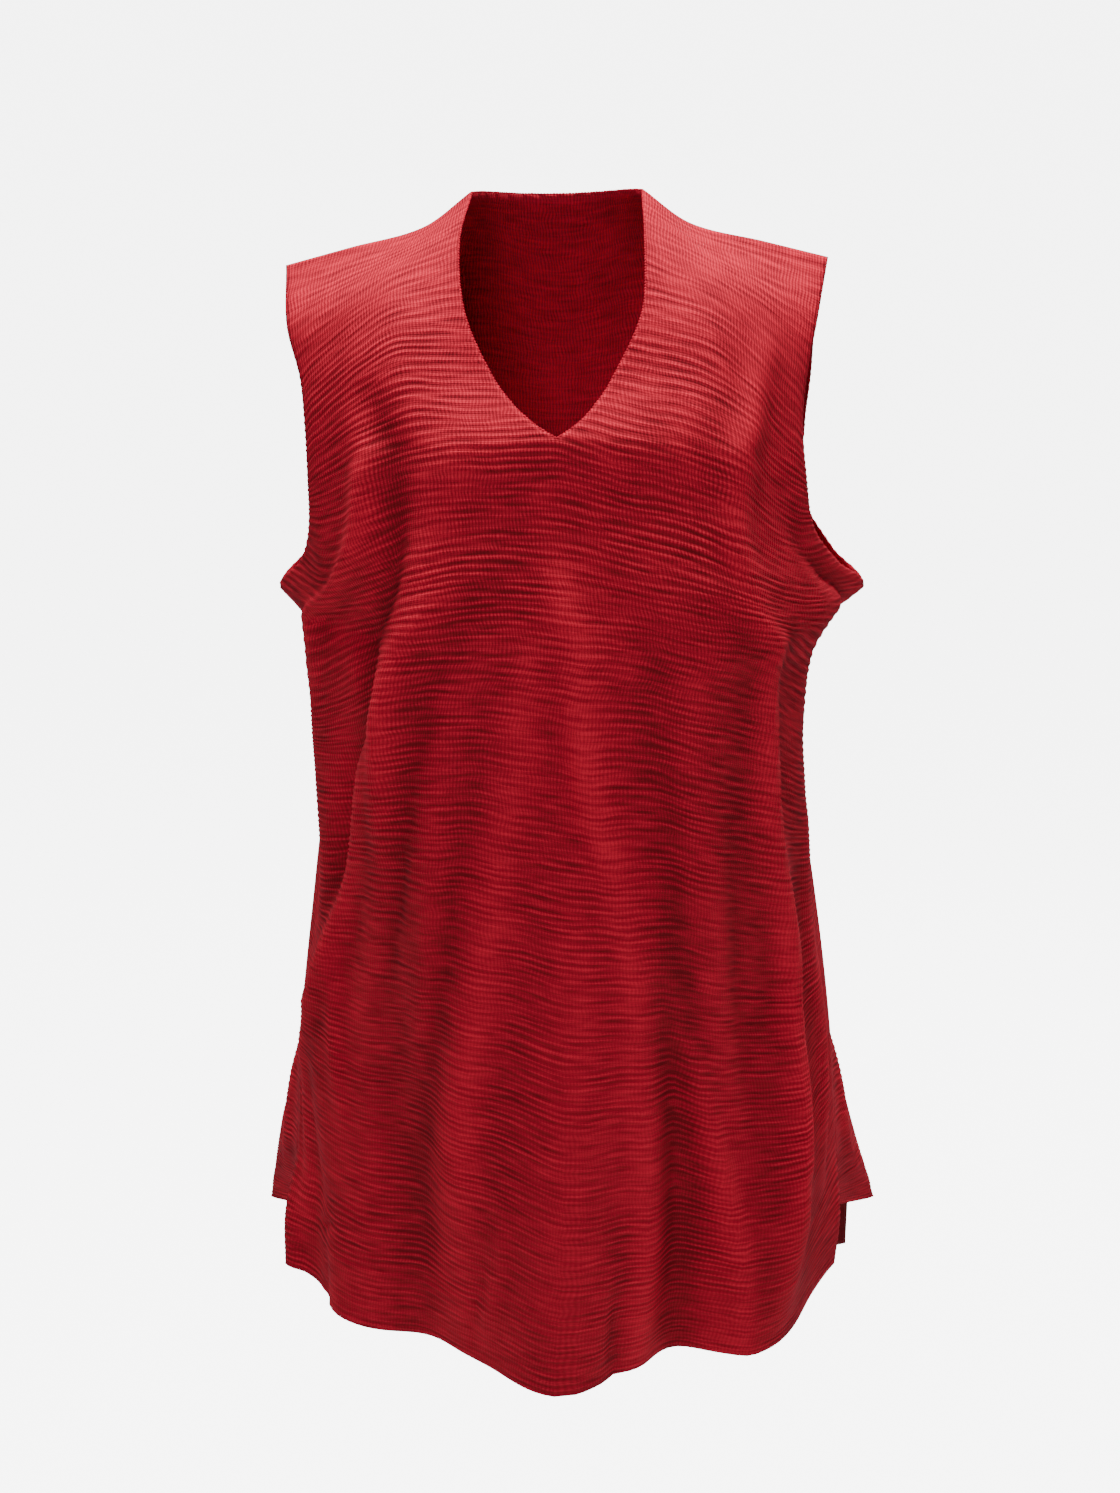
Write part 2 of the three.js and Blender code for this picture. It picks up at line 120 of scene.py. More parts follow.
# Half sections of the front. The neck is the centre front below the V and the neck edge above
# it, the chest the line over the bust, the turn the line where the front turns to the side.
FRONT_SECTIONS = [
    {"level": 0, "shift": 0, "neck": (0, -112, -762), "chest": (88, -74, -760),
     "turn": (162, -45, -755), "side": (206, 9, -745)},
    {"level": 50, "shift": 2, "side": (207, 14, -702)},
    {"level": 100, "neck": (0, -120, -662), "chest": (88, -96, -661), "turn": (170, -38, -657)},
    {"level": 200, "neck": (0, -125, -562), "chest": (86, -111, -561), "turn": (169, -28, -559)},
    {"level": 315, "neck": (0, -128, -447), "chest": (86, -122, -446), "turn": (160, -26, -446)},
    {"level": 420, "neck": (0, -127, -342), "chest": (88, -126, -341), "turn": (155, -32, -342)},
    {"level": 460, "neck": (0, -126, -302), "chest": (90, -127, -301), "turn": (154, -38, -302)},
    {"level": 500, "neck": (0, -124, -262), "chest": (92, -127, -262), "turn": (155, -42, -261)},
    {"level": 525, "neck": (0, -122, -237), "chest": (93, -126, -238), "turn": (158, -43, -236)},
    {"level": 560, "shift": 6, "neck": (0, -118, -203), "chest": (94, -122, -204),
     "turn": (156, -48, -208), "side": (178, -4, -203)},
    {"level": 600, "shift": 1, "neck": (0, -112, -164), "chest": (95, -114, -166),
     "turn": (151, -57, -176), "side": (162, -40, -174)},
    {"level": 660, "shift": -2, "neck": (0, -101, -105), "chest": (96, -99, -112),
     "turn": (148, -60, -131), "side": (157, -50, -137)},
    {"level": 670, "neck": (12.5, -97.5, -97.5)},
    {"level": 682, "neck": (23.5, -92.7, -88)},
    {"level": 700, "shift": -4, "neck": (35.5, -85, -73), "chest": (98, -87, -74),
     "turn": (148, -54, -97), "side": (156, -46, -105)},
    {"level": 740, "shift": -4, "neck": (54, -67, -35), "chest": (99, -68, -40),
     "turn": (149, -43, -66), "side": (159, -37, -76)},
    {"level": 780, "shift": -5, "neck": (57.5, -35, 4), "chest": (100, -38, -13),
     "turn": (148, -26, -35), "side": (167, -22, -45)},
    {"level": 825, "shift": -2, **SHOULDER_SEAM},
]

# Half sections of the back. The centre is the centre back, the neck the line under the stand.
BACK_SECTIONS = [
    {"level": 0, "shift": 10, "centre": (0, 146, -766), "neck": (60, 146, -766),
     "chest": (140, 134, -762), "turn": (239, 108, -746), "side": (207, 75, -734)},
    {"level": 100, "centre": (0, 134, -667), "neck": (60, 134, -667),
     "chest": (135, 125, -663), "turn": (216, 88, -659)},
    {"level": 200, "centre": (0, 122, -568), "neck": (60, 122, -568),
     "chest": (128, 114, -565), "turn": (190, 68, -561)},
    {"level": 315, "centre": (0, 110, -453), "neck": (60, 110, -453),
     "chest": (122, 103, -451), "turn": (172, 73, -448)},
    {"level": 420, "centre": (0, 102, -347), "neck": (60, 102, -347),
     "chest": (118, 96, -346), "turn": (163, 71, -343)},
    {"level": 460, "centre": (0, 99, -307), "neck": (60, 99, -307),
     "chest": (117, 94, -305), "turn": (161, 69, -303)},
    {"level": 500, "centre": (0, 97, -267), "neck": (60, 98, -266),
     "chest": (116, 92, -265), "turn": (161, 67, -262)},
    {"level": 525, "centre": (0, 96, -242), "neck": (60, 97, -241),
     "chest": (115, 91, -240), "turn": (162, 66, -237)},
    {"level": 560, "shift": 7, "centre": (0, 96, -208), "neck": (60, 97, -206),
     "chest": (114, 91, -205), "turn": (159, 68, -205), "side": (181, 52, -206)},
    {"level": 600, "shift": 4, "centre": (0, 97, -170), "neck": (60, 98, -167),
     "chest": (112, 90, -167), "turn": (153, 71, -169), "side": (163, 58, -172)},
    {"level": 660, "shift": 3, "centre": (0, 97, -113), "neck": (61, 94, -106),
     "chest": (110, 86, -111), "turn": (148, 69, -117), "side": (163, 56, -122)},
    {"level": 700, "shift": 3, "centre": (0, 94, -77), "neck": (63, 86, -67),
     "chest": (110, 79, -76), "turn": (147, 64, -83), "side": (165, 50, -89)},
    {"level": 740, "shift": 1, "centre": (0, 88, -42), "neck": (64, 71, -29),
     "chest": (110, 65, -44), "turn": (146, 53, -52), "side": (167, 41, -60)},
    {"level": 780, "shift": -1, "centre": (0, 78, -8), "neck": (62, 44, 4),
     "chest": (106, 42, -16), "turn": (144, 35, -28), "side": (169, 27, -35)},
    {"level": 825, "shift": -2, "centre": (0, 62, 29), **SHOULDER_SEAM},
]


class Face(Enum):
    """Which way a panel faces, as the sign of a fold's push along -Y."""

    FRONT = 1
    BACK = -1


DEEP_FOLD = 12.0  # mm, the height at which a fold stands out fully
SWELL_FADE = 0.2  # the share of the way across over which a swelling fades


@dataclass(frozen=True)
class Fold:
    """A soft ridge, or a trough where the height is negative, that runs up a panel."""

    name: str
    start: float  # level of its lower end, mm
    end: float  # level of its upper end, mm
    across: float  # place at the lower end, -1 right side to 1 left side
    lean: float  # how far it moves across by its upper end
    width: float  # half width, mm
    height: float  # mm

    def at(self, across: np.ndarray, level: float, half_width: float) -> tuple[float, np.ndarray]:
        """Where one row lies in the fold.

        Args:
            across: places across the panel, from -1 to 1.
            level: the row's level in mm.
            half_width: the width of half the row in mm.

        Returns:
            How full the fold is there, 0 beyond its ends and 1 halfway up it, and how far each
            place lies from the fold's line, counted in the fold's half widths.
        """
        along = (level - self.start) / (self.end - self.start)
        fullness = math.sin(math.pi * along) if 0 < along < 1 else 0.0
        return fullness, (across - self.across - self.lean * along) * half_width / self.width

    def push(self, across: np.ndarray, level: float, half_width: float) -> np.ndarray:
        """How far the fold pushes the cloth out along one row, in mm."""
        fullness, offset = self.at(across, level, half_width)
        return self.height * fullness * np.exp(-offset * offset)

    def stand(self, across: np.ndarray, level: float, half_width: float) -> np.ndarray:
        """How far one row stands out at the fold: the mask of the painted fold light and shade.

        Args:
            across: places across the panel, from -1 to 1.
            level: the row's level in mm.
            half_width: the width of half the row in mm.

        Returns:
            About 1 on a deep fold's crest, and less than 0 on both its flanks.
        """
        fullness, offset = self.at(across, level, half_width)
        hat = (1 - offset * offset) * np.exp(-offset * offset / 2)
        return self.height / DEEP_FOLD * math.sqrt(fullness) * hat


@dataclass(frozen=True)
class Swell:
    """A broad swelling that lies across a panel and fades towards its sides."""

    level: float  # mm, where it is fullest at the centre
    lean: float  # mm by which that rises from the centre to the left side
    spread: float  # mm, half its width up the cloth
    reach: float  # how far across it goes, 0 to 1
    height: float  # mm

    def push(self, across: np.ndarray, level: float) -> np.ndarray:
        """How far it pushes the cloth out along one row.

        Args:
            across: places across the panel, from -1 to 1.
            level: the row's level in mm.

        Returns:
            The push at each place in mm.
        """
        rise = (level - self.level - self.lean * across) / self.spread
        fade = 1 - smoothstep(self.reach - SWELL_FADE, self.reach, np.abs(across))
        return self.height * np.exp(-rise * rise) * fade


BUST = Swell(level=657, lean=13, spread=30, reach=0.82, height=5)
NO_SWELL = Swell(level=0, lean=0, spread=1, reach=1, height=0)

FRONT_FOLDS = (
    Fold("centre flute", -440, 440, -0.02, 0.03, 40, 18),
    Fold("left hem lobe", -260, 260, 0.56, 0.02, 38, 27),
    Fold("right hem trough", -230, 230, -0.41, 0, 24, -7),
    Fold("right vent trough", -200, 200, -0.86, 0, 26, -12),
    Fold("right bust trough", 250, 590, -0.66, 0.06, 26, -8),
    Fold("right bust ridge", 90, 560, -0.8, 0.12, 24, 6),
    Fold("left bust ridge", 330, 560, 0.76, -0.05, 24, 5),
)
BACK_FOLDS = (
    Fold("centre back trough", 60, 560, -0.05, 0.02, 34, -8),
    Fold("left back flute", -420, 420, 0.3, -0.04, 32, 11),
    Fold("right back flute", -360, 360, -0.36, 0.05, 34, 12),
    Fold("left waist ridge", 150, 540, 0.56, 0.08, 28, 7),
    Fold("right waist ridge", 120, 500, -0.58, -0.06, 28, 8),
)

# Softer and smaller folds of the cloth itself, within a few millimetres of the panels' form.
FRONT_CREASES = (
    Fold("right bust crest", 350, 700, -0.83, 0.17, 11, 8),
    Fold("right bust valley", 430, 710, -0.47, -0.11, 14, -12),
    Fold("right side valley", 240, 540, -0.81, 0.35, 14, -11),
    Fold("right waist crest", 370, 585, -0.47, 0.12, 12, 8),
    Fold("right skirt crest", 160, 500, -0.92, 0.5, 13, 12),
    Fold("right waist valley", 250, 580, -0.52, 0.3, 12, -7),
    Fold("right waist rib", 220, 490, -0.39, 0.19, 9, 4),
    Fold("right skirt valley", -90, 400, -0.5, 0.1, 24, -7),
    Fold("centre slope", 60, 590, -0.33, 0.3, 16, 8),
    Fold("centre left valley", 20, 520, -0.46, 0.3, 15, -5),
    Fold("centre tent", 40, 640, 0.02, 0.02, 32, 5),
    Fold("centre crest", 260, 610, 0.21, -0.26, 12, 9),
    Fold("centre waist valley", 240, 580, 0.35, -0.22, 15, -7),
    Fold("centre skirt edge", -70, 360, 0.24, -0.08, 13, 8),
    Fold("left skirt step", -70, 370, 0.39, -0.18, 17, -14),
    Fold("left skirt line", -40, 390, 0.58, -0.42, 8, 7),
    Fold("left skirt valley", 100, 460, 0.52, -0.12, 12, -5),
    Fold("left bust crest", 520, 760, 0.45, 0.3, 12, 6),
    Fold("left waist crest", 230, 580, 0.66, -0.23, 13, 13),
    Fold("left hip crest", 10, 410, 0.63, 0, 14, 12),
    Fold("left side valley", 380, 620, 0.84, 0.06, 11, -8),
    Fold("left side crest", 200, 470, 0.8, 0, 9, 5),
    Fold("left skirt crest", 80, 300, 0.82, 0.03, 11, 6),
    Fold("right vent crest", 20, 240, -0.93, 0.05, 10, 6),
    Fold("right skirt rib", 150, 300, -0.66, -0.04, 8, 4),
    Fold("left vent valley", 90, 195, 0.88, 0, 6, -4),
    Fold("left vent nick", 84, 142, 0.7, -0.08, 4, -3),
    Fold("right vent nick", 56, 78, -0.8, 0.07, 4, -3),
    Fold("right hem crease", -70, 76, -0.82, 0.06, 5, -3),
    Fold("centre hem crease", 4, 112, -0.28, 0.1, 6, -3),
    Fold("centre hem rib", 20, 150, -0.23, 0.08, 6, 4),
    Fold("left hem crease", -60, 88, 0.17, -0.06, 6, -3),
    Fold("left hem rib", 10, 110, 0.08, 0.03, 6, 3),
)
BACK_CREASES = (
    Fold("right blade crest", 430, 650, -0.7, 0.16, 12, 4),
    Fold("right back valley", 300, 610, -0.62, 0.2, 16, -5),
    Fold("right skirt crest", 60, 430, -0.66, 0.2, 14, 5),
    Fold("right vent crest", 20, 210, -0.9, 0.04, 8, 3),
    Fold("centre crest", 180, 520, -0.12, 0.1, 15, 3),
    Fold("centre skirt valley", -60, 360, 0.02, 0.06, 16, -4),
    Fold("left skirt crest", 30, 400, 0.5, -0.14, 15, 5),
    Fold("left back valley", 280, 600, 0.64, -0.16, 14, -5),
    Fold("left blade crest", 400, 640, 0.74, -0.12, 12, 4),
    Fold("left vent crest", 30, 200, 0.88, 0, 7, 3),
    Fold("right hem crease", -50, 90, -0.4, 0.05, 4, -1.6),
    Fold("left hem crease", -40, 80, 0.22, -0.04, 4, -1.4),
)

# How far the courses of the knit lie above the level lines, in mm, at places across a panel:
# they sink towards the sides, where the cloth turns around the body.
GRAIN_PLACES = (-1, -0.8, -0.6, -0.4, -0.2, 0, 0.2, 0.4, 0.6, 0.8, 1)
FRONT_GRAIN = [
    {"level": 0, "rise": (0, 0, 0, 0, 0, 0, 0, 0, 0, 0, 0)},
    {"level": 150, "rise": (12, 12, 14, 20, 13, 0, -3, -18, -22, -10, 0)},
    {"level": 250, "rise": (-8, -5, -3, 10, 13, 0, -4, -24, -38, -30, -20)},
    {"level": 350, "rise": (-22, -18, -4, 6, 12, 0, -5, -26, -46, -52, -55)},
    {"level": 450, "rise": (-35, -30, -18, -1, 8, 0, -7, -26, -48, -72, -82)},
    {"level": 530, "rise": (-66, -58, -33, -2, 6, 0, -8, -24, -50, -78, -94)},
    {"level": 600, "rise": (-40, -34, -12, 1, 3, 0, -9, -20, -44, -66, -80)},
    {"level": 650, "rise": (-15, -8, -2, 3, 1, 0, -8, -14, -25, -46, -62)},
    {"level": 740, "rise": (-18, -12, -6, 0, 0, 0, -4, -10, -20, -33, -42)},
    {"level": 825, "rise": (0, 0, 0, 0, 0, 0, 0, 0, 0, 0, 0)},
]
BACK_GRAIN = [
    {"level": 0, "rise": (0, 0, 0, 0, 0, 0, 0, 0, 0, 0, 0)},
    {"level": 200, "rise": (-14, -18, -12, -2, 4, 0, 2, -4, -16, -22, -16)},
    {"level": 400, "rise": (-36, -30, -16, -4, 2, 0, -2, -8, -20, -34, -40)},
    {"level": 530, "rise": (-52, -42, -22, -6, 0, 0, -2, -8, -24, -44, -54)},
    {"level": 660, "rise": (-20, -14, -8, -3, 0, 0, 0, -4, -10, -18, -24)},
    {"level": 825, "rise": (0, 0, 0, 0, 0, 0, 0, 0, 0, 0, 0)},
]

# ------------------------------------------------------------------ curves

CURVE_SAMPLES = 160  # pieces in a dense curve
SIDEWAYS = np.array([1.0, 0, 0])
INTO_NECK = np.array([0.25, -1, 0])  # the way the top of the back stand turns towards the front
NECK_FULLNESS = 0.25  # by which that turn is rounder than a plain curve


def smoothstep(low: float, high: float, value: float | np.ndarray) -> float | np.ndarray:
    """A smooth rise from 0 at low to 1 at high."""
    t = np.clip((np.asarray(value, float) - low) / (high - low), 0, 1)
    return t * t * (3 - 2 * t)


def hermite(
    start: np.ndarray,
    end: np.ndarray,
    start_slope: np.ndarray,
    end_slope: np.ndarray,
    span: float | np.ndarray,
    t: np.ndarray,
) -> np.ndarray:
    """Points of the cubic between two points.

    Args:
        start: where it starts.
        end: where it ends.
        start_slope: its slope at the start, per unit of the span.
        end_slope: its slope at the end.
        span: how long it is, in the units of the slopes.
        t: how far along, from 0 to 1, once for each point.

    Returns:
        One point for each t.
    """
    t = np.asarray(t, float)[..., None]
    t2, t3 = t * t, t * t * t
    return (
        start * (2 * t3 - 3 * t2 + 1)
        + end * (3 * t2 - 2 * t3)
        + start_slope * (t3 - 2 * t2 + t) * span
        + end_slope * (t3 - t2) * span
    )


def spline(
    knots: list[float] | np.ndarray, points: list | np.ndarray, at: float | np.ndarray
) -> np.ndarray:
    """Points on the smooth curve that runs through points at the given knots.

    Args:
        knots: rising numbers, one for each point.
        points: the points, n by 3.
        at: where on the curve.

    Returns:
        One point for each number in at.
    """
    knots, points, at = np.asarray(knots, float), np.asarray(points, float), np.asarray(at, float)
    slopes = np.empty_like(points)
    slopes[1:-1] = (points[2:] - points[:-2]) / (knots[2:] - knots[:-2])[:, None]
    slopes[0] = (points[1] - points[0]) / (knots[1] - knots[0])
    slopes[-1] = (points[-1] - points[-2]) / (knots[-1] - knots[-2])
    i = np.clip(np.searchsorted(knots, at) - 1, 0, len(knots) - 2)
    span = (knots[i + 1] - knots[i])[..., None]
    t = (at - knots[i]) / span[..., 0]
    return hermite(points[i], points[i + 1], slopes[i], slopes[i + 1], span, t)


def running_lengths(points: np.ndarray) -> np.ndarray:
    """The lengths from the first of a list of points to each of them."""
    return np.concatenate([[0], np.cumsum(np.linalg.norm(np.diff(points, axis=0), axis=1))])


def station_curve(stations: np.ndarray, first_slope: np.ndarray) -> np.ndarray:
    """A dense curve through stations.

    Args:
        stations: the points that it runs through, n by 3, mm.
        first_slope: its direction at the first of them, of a length near 1.

    Returns:
        The curve's points, evenly spaced in its knots.
    """
    knots = running_lengths(stations)
    before = stations[0] - first_slope * knots[1]
    at = np.linspace(0, knots[-1], CURVE_SAMPLES + 1)
    return spline([-knots[1], *knots], np.vstack([before, stations]), at)


def along_curve(curve: np.ndarray, marks: np.ndarray) -> np.ndarray:
    """The points of a dense curve at given lengths from its start."""
    lengths = running_lengths(curve)
    return np.stack([np.interp(marks, lengths, curve[:, axis]) for axis in range(3)], axis=1)


def station(table: list[dict], name: str, level: float) -> np.ndarray:
    """One station of a table at a level, from the rows that give it.

    Between the vent and the underarm the side and the shift come from the side seam alone, so
    that front and back agree there. Above the V the neck comes from the rows there alone, so
    that the neck edge leaves the V at an angle.

    Args:
        table: the panel's sections.
        name: the column of the table.
        level: in mm.

    Returns:
        The station's point in mm, or the shift three times over.
    """
    sewn = name in ("side", "shift") and VENT_LENGTH <= level <= UNDERARM_LEVEL
    lowest = V_LEVEL if name == "neck" and level > V_LEVEL else 0
    rows = [r for r in (SIDE_SEAM if sewn else table) if name in r and r["level"] >= lowest]
    values = [np.resize(row[name], 3) if name == "shift" else row[name] for row in rows]
    return spline([row["level"] for row in rows], values, level)


# ------------------------------------------------------------------ the ripples of the knit

SMALLEST_WAVE = 1e-6


@dataclass(frozen=True)
class Drift:
    """A slow, smooth, random change over the cloth."""

    length: float  # mm over which it changes
    seed: int
    waves: int = 14
    spread: tuple[float, float] = (0.6, 1.4)  # how the waves' rates differ from that of its length

    def at(self, across: np.ndarray, course: np.ndarray) -> np.ndarray:
        """The change at places on the cloth.

        Args:
            across: distance across the cloth in mm.
            course: distance up the cloth in mm.

        Returns:
            Heights of -1 to 1.
        """
        rng = np.random.default_rng(self.seed)
        total = np.zeros_like(across)
        for _ in range(self.waves):
            angle, phase = rng.uniform(0, 2 * math.pi, 2)
            rise = 2 * math.pi / self.length * rng.uniform(*self.spread)
            total += np.cos(rise * (math.cos(angle) * across + math.sin(angle) * course) + phase)
        return np.clip(total / math.sqrt(self.waves), -1, 1)


@dataclass(frozen=True)
class Ripples:
    """The crosswise ripples of the knit: a field of short waves that lie across the cloth."""

    pitch: float = 4.9  # mm from crest to crest
    pitch_spread: float = 0.13  # share by which the pitch varies
    turn: float = 0.042  # radians a millimetre by which the phase drifts across
    height: float = 0.3  # mm, of a usual crest
    kinks: tuple[float, ...] = (36.0, 12.0)  # mm, over which a ripple turns up and down
    kink: float = 0.014  # its rise there, as a share of that
    sharpness: float = 2.2  # above 1 the crests are narrower than the troughs
    waves: int = 70
    seed: int = 11

    def at(self, across: np.ndarray, course: np.ndarray) -> np.ndarray:
        """The field at places on the cloth.

        Args:
            across: distance across the cloth in mm.
            course: distance up the cloth in mm, along which the ripples follow each other.

        Returns:
            Heights of -1 to 1.
        """
        rng = np.random.default_rng(self.seed)
        for length in self.kinks:
            course = course + length * self.kink * Drift(length, self.seed).at(across, course)
        total = np.zeros_like(across, dtype=complex)
        for _ in range(self.waves):
            turn = rng.normal(0, self.turn)
            rise = 2 * math.pi / self.pitch * (1 + rng.normal(0, self.pitch_spread))
            total += np.exp(1j * (turn * across + rise * course + rng.uniform(0, 2 * math.pi)))
        size = np.abs(total) / math.sqrt(self.waves)
        wave = np.real(total) / np.maximum(np.abs(total), SMALLEST_WAVE)
        crest = (0.5 + 0.5 * wave) ** self.sharpness
        return (2 * crest - 1) * np.clip(size, 0, 1) ** 0.5


# ------------------------------------------------------------------ sheets of cloth

SHARPEST_TURN = 0.4  # the least square of a mean of normals, which keeps sharp points short
SHARPEST_MITRE = 0.6  # the least cosine between a wall and the mitre at its seam
SMALLEST_NORMAL = 1e-9
ROW_PITCH = 0.95  # mm between the rows of a panel
HALF_COLUMNS = 42  # columns from the centre or neck edge to the side
EDGE_COLUMNS = 4  # of them, over the allowance at the side
NECK_COLUMNS = 7  # of the back's, under the neck edge
INNER_ROWS = 10  # the inside of a panel takes every tenth row
CAD_COLUMNS = 14  # the folds' places across are counted in these
CAD_NECK_COLUMNS = 3  # and in these under the back's neck edge


def levels_of(marks: tuple[float, ...], pitch: float) -> np.ndarray:
    """Levels of mesh rows, with a row at each mark.

    Args:
        marks: rising levels in mm.
        pitch: the most that two rows lie apart, mm.

    Returns:
        The levels in mm, from the first mark to the last.
    """
    levels = [np.array([marks[0]])]
    for low, high in zip(marks, marks[1:]):
        steps = math.ceil((high - low) / pitch / INNER_ROWS) * INNER_ROWS
        levels.append(np.linspace(low, high, steps + 1)[1:])
    return np.concatenate(levels)


MARKS = (0.0, HEM_DEPTH, VENT_LENGTH, UNDERARM_LEVEL, V_LEVEL, SHOULDER_LEVEL)
LEVELS = levels_of(MARKS, ROW_PITCH)
HEM_ROW, VENT_ROW, UNDERARM_ROW, V_ROW, TOP_ROW = (
    int(np.searchsorted(LEVELS, mark)) for mark in MARKS[1:]
)


@dataclass
class Sheet:
    """A grid of cloth. Its columns run from the right side to the left, the centre one twice."""

    face: Face
    points: np.ndarray  # rows x columns x 3, mm
    across: np.ndarray  # cloth coordinate across, mm
    course: np.ndarray  # cloth coordinate up the cloth, mm
    levels: np.ndarray
    open_from: int  # the first row above which the centre is cut open
    stand: np.ndarray  # how far it stands out of the folds around it, -1 to 1; the mask of painted fold light and shade
    normals: np.ndarray = field(init=False)

    def __post_init__(self) -> None:
        """Works out the offsets that move the cells out by one unit."""
        self.normals = self.mean_normals()

    @property
    def half(self) -> int:
        """The number of columns in half the sheet, less one."""
        return self.points.shape[1] // 2 - 1

    def ids(self) -> np.ndarray:
        """The index of each grid place.

        Returns:
            Rows x columns indices. Up to the cut, both centre columns have the same ones.
        """
        rows, columns = self.points.shape[:2]
        ids = np.arange(rows * columns).reshape(rows, columns)
        ids[: self.open_from + 1, self.half + 1] = ids[: self.open_from + 1, self.half]
        return ids

    def mean_normals(self) -> np.ndarray:
        """The way out of the cloth at each grid place.

        Returns:
            Rows x columns x 3 offsets, each of which moves all the cells around it out by one unit,
            but is held short where the cloth turns sharply.
        """
        ids, points = self.ids(), self.points
        run = points[1:, 1:] - points[:-1, :-1]
        rise = points[1:, :-1] - points[:-1, 1:]
        faces = np.cross(run, rise) * self.face.value
        faces /= np.maximum(np.linalg.norm(faces, axis=2, keepdims=True), SMALLEST_NORMAL)
        faces[:, self.half] = 0
        sums = np.zeros((points.shape[0] * points.shape[1], 3))
        counts = np.zeros(len(sums))
        weight = np.any(faces, axis=2).astype(float)
        corners = (ids[:-1, :-1], ids[:-1, 1:], ids[1:, 1:], ids[1:, :-1])
        for corner in corners:
            np.add.at(sums, corner.ravel(), faces.reshape(-1, 3))
            np.add.at(counts, corner.ravel(), weight.ravel())
        mean = sums / np.maximum(counts, 1)[:, None]
        mean /= np.maximum((mean * mean).sum(1), SHARPEST_TURN)[:, None]
        return mean[ids]


def mesh_object(name: str, points: np.ndarray, polygons: list[list[int]]) -> bpy.types.Object:
    """A smooth-shaded mesh object at the origin.

    Args:
        name: its name.
        points: its vertices in mm, n by 3.
        polygons: the indices of each face's corners, counter-clockwise from outside.

    Returns:
        The object, linked to the scene.
    """
    mesh = bpy.data.meshes.new(name)
    mesh.from_pydata((points * MM).tolist(), [], polygons)
    mesh.shade_smooth()
    piece = bpy.data.objects.new(name, mesh)
    bpy.context.scene.collection.objects.link(piece)
    return piece


@dataclass
class Wall:
    """Gives a sheet its thickness: a fine outer face, an inner one of fewer rows and a rim."""

    sheet: Sheet
    outer: np.ndarray  # points of the outer face, rows x columns x 3, mm
    inner: np.ndarray  # points of the inner face, of the same shape
    rows: np.ndarray  # the rows that the inner face takes
    ripple: np.ndarray  # how high each place stands on its ripple, -1 to 1

    def inner_ids(self) -> np.ndarray:
        """The indices of the inner points, which come after all the outer ones.

        Returns:
            An index for each grid place, or -1 where the inner face has no point.
        """
        ids = self.sheet.ids()
        picked = np.full(ids.size, -1)
        kept = np.unique(ids[self.rows])
        picked[kept] = ids.size + np.arange(len(kept))
        return picked[ids]

    def loop(self) -> list[tuple[int, int]]:
        """The grid places along the sheet's edge.

        Returns:
            Rows and columns, once around, as the cells of the front run.
        """
        top, left = self.outer.shape[0] - 1, self.outer.shape[1] - 1
        half, cut = self.sheet.half, self.sheet.open_from
        path = [(0, c) for c in range(left + 1) if c != half + 1]
        path += [(r, left) for r in range(1, top + 1)]
        path += [(top, c) for c in range(left - 1, half, -1)]
        if cut < top:
            path += [(r, half + 1) for r in range(top - 1, cut, -1)]
            path += [(r, half) for r in range(cut, top)]
        path += [(top, c) for c in range(half if cut < top else half - 1, -1, -1)]
        path += [(r, 0) for r in range(top - 1, -1, -1)]
        return path

    def rim(self) -> list[tuple[int, int, int]]:
        """Closes the wall along its edge.

        Returns:
            Triangles between the outer face's edge and the inner one's, as indices of points.
        """
        fine, coarse = self.sheet.ids(), self.inner_ids()
        path = self.loop()
        outer = [int(fine[place]) for place in path]
        inner = [int(coarse[place]) for place in path]
        stops = [i for i, index in enumerate(inner) if index >= 0]
        faces = []
        for a, b in zip(stops, stops[1:]):
            middle = (a + b) // 2
            faces += [(outer[i], inner[a], outer[i + 1]) for i in range(a, middle)]
            faces.append((outer[middle], inner[a], inner[b]))
            faces += [(outer[i], inner[b], outer[i + 1]) for i in range(middle, b)]
        return faces

    def build(self, name: str) -> bpy.types.Object:
        """Makes the wall as one closed mesh.

        Args:
            name: the piece's name.

        Returns:
            The mesh object, with its cloth coordinates as a UV map and with the attributes
            ripple and stand, which are 0 on the inner face.
        """
        sheet, half = self.sheet, self.sheet.half
        ids, coarse = sheet.ids(), self.inner_ids()
        quads = np.stack([ids[:-1, :-1], ids[:-1, 1:], ids[1:, 1:], ids[1:, :-1]], axis=2)
        outer = np.delete(quads, half, axis=1).reshape(-1, 4)
        grid = coarse[self.rows]
        large = np.stack([grid[:-1, :-1], grid[1:, :-1], grid[1:, 1:], grid[:-1, 1:]], axis=2)
        inner = np.delete(large, half, axis=1).reshape(-1, 4)
        faces = outer.tolist() + inner.tolist() + [list(f) for f in self.rim()]
        if sheet.face is Face.BACK:
            faces = [face[::-1] for face in faces]
        chosen = np.unique(ids[self.rows])
        points = np.vstack([self.outer.reshape(-1, 3), self.inner.reshape(-1, 3)[chosen]])
        flat = np.stack([sheet.across, sheet.course], axis=2).reshape(-1, 2)
        cloth = np.vstack([flat, flat[chosen]])
        used = np.unique(np.concatenate([np.asarray(face) for face in faces]))
        renumber = np.full(len(points), -1)
        renumber[used] = np.arange(len(used))
        piece = mesh_object(name, points[used], [renumber[face].tolist() for face in faces])
        lay_cloth(piece, cloth[used])
        for layer_name, values in (("ripple", self.ripple), ("stand", sheet.stand)):
            height = np.concatenate([values.ravel(), np.zeros(len(chosen))])
            layer = piece.data.attributes.new(layer_name, "FLOAT", "POINT")
            layer.data.foreach_set("value", height[used].astype(np.float32))
        return piece


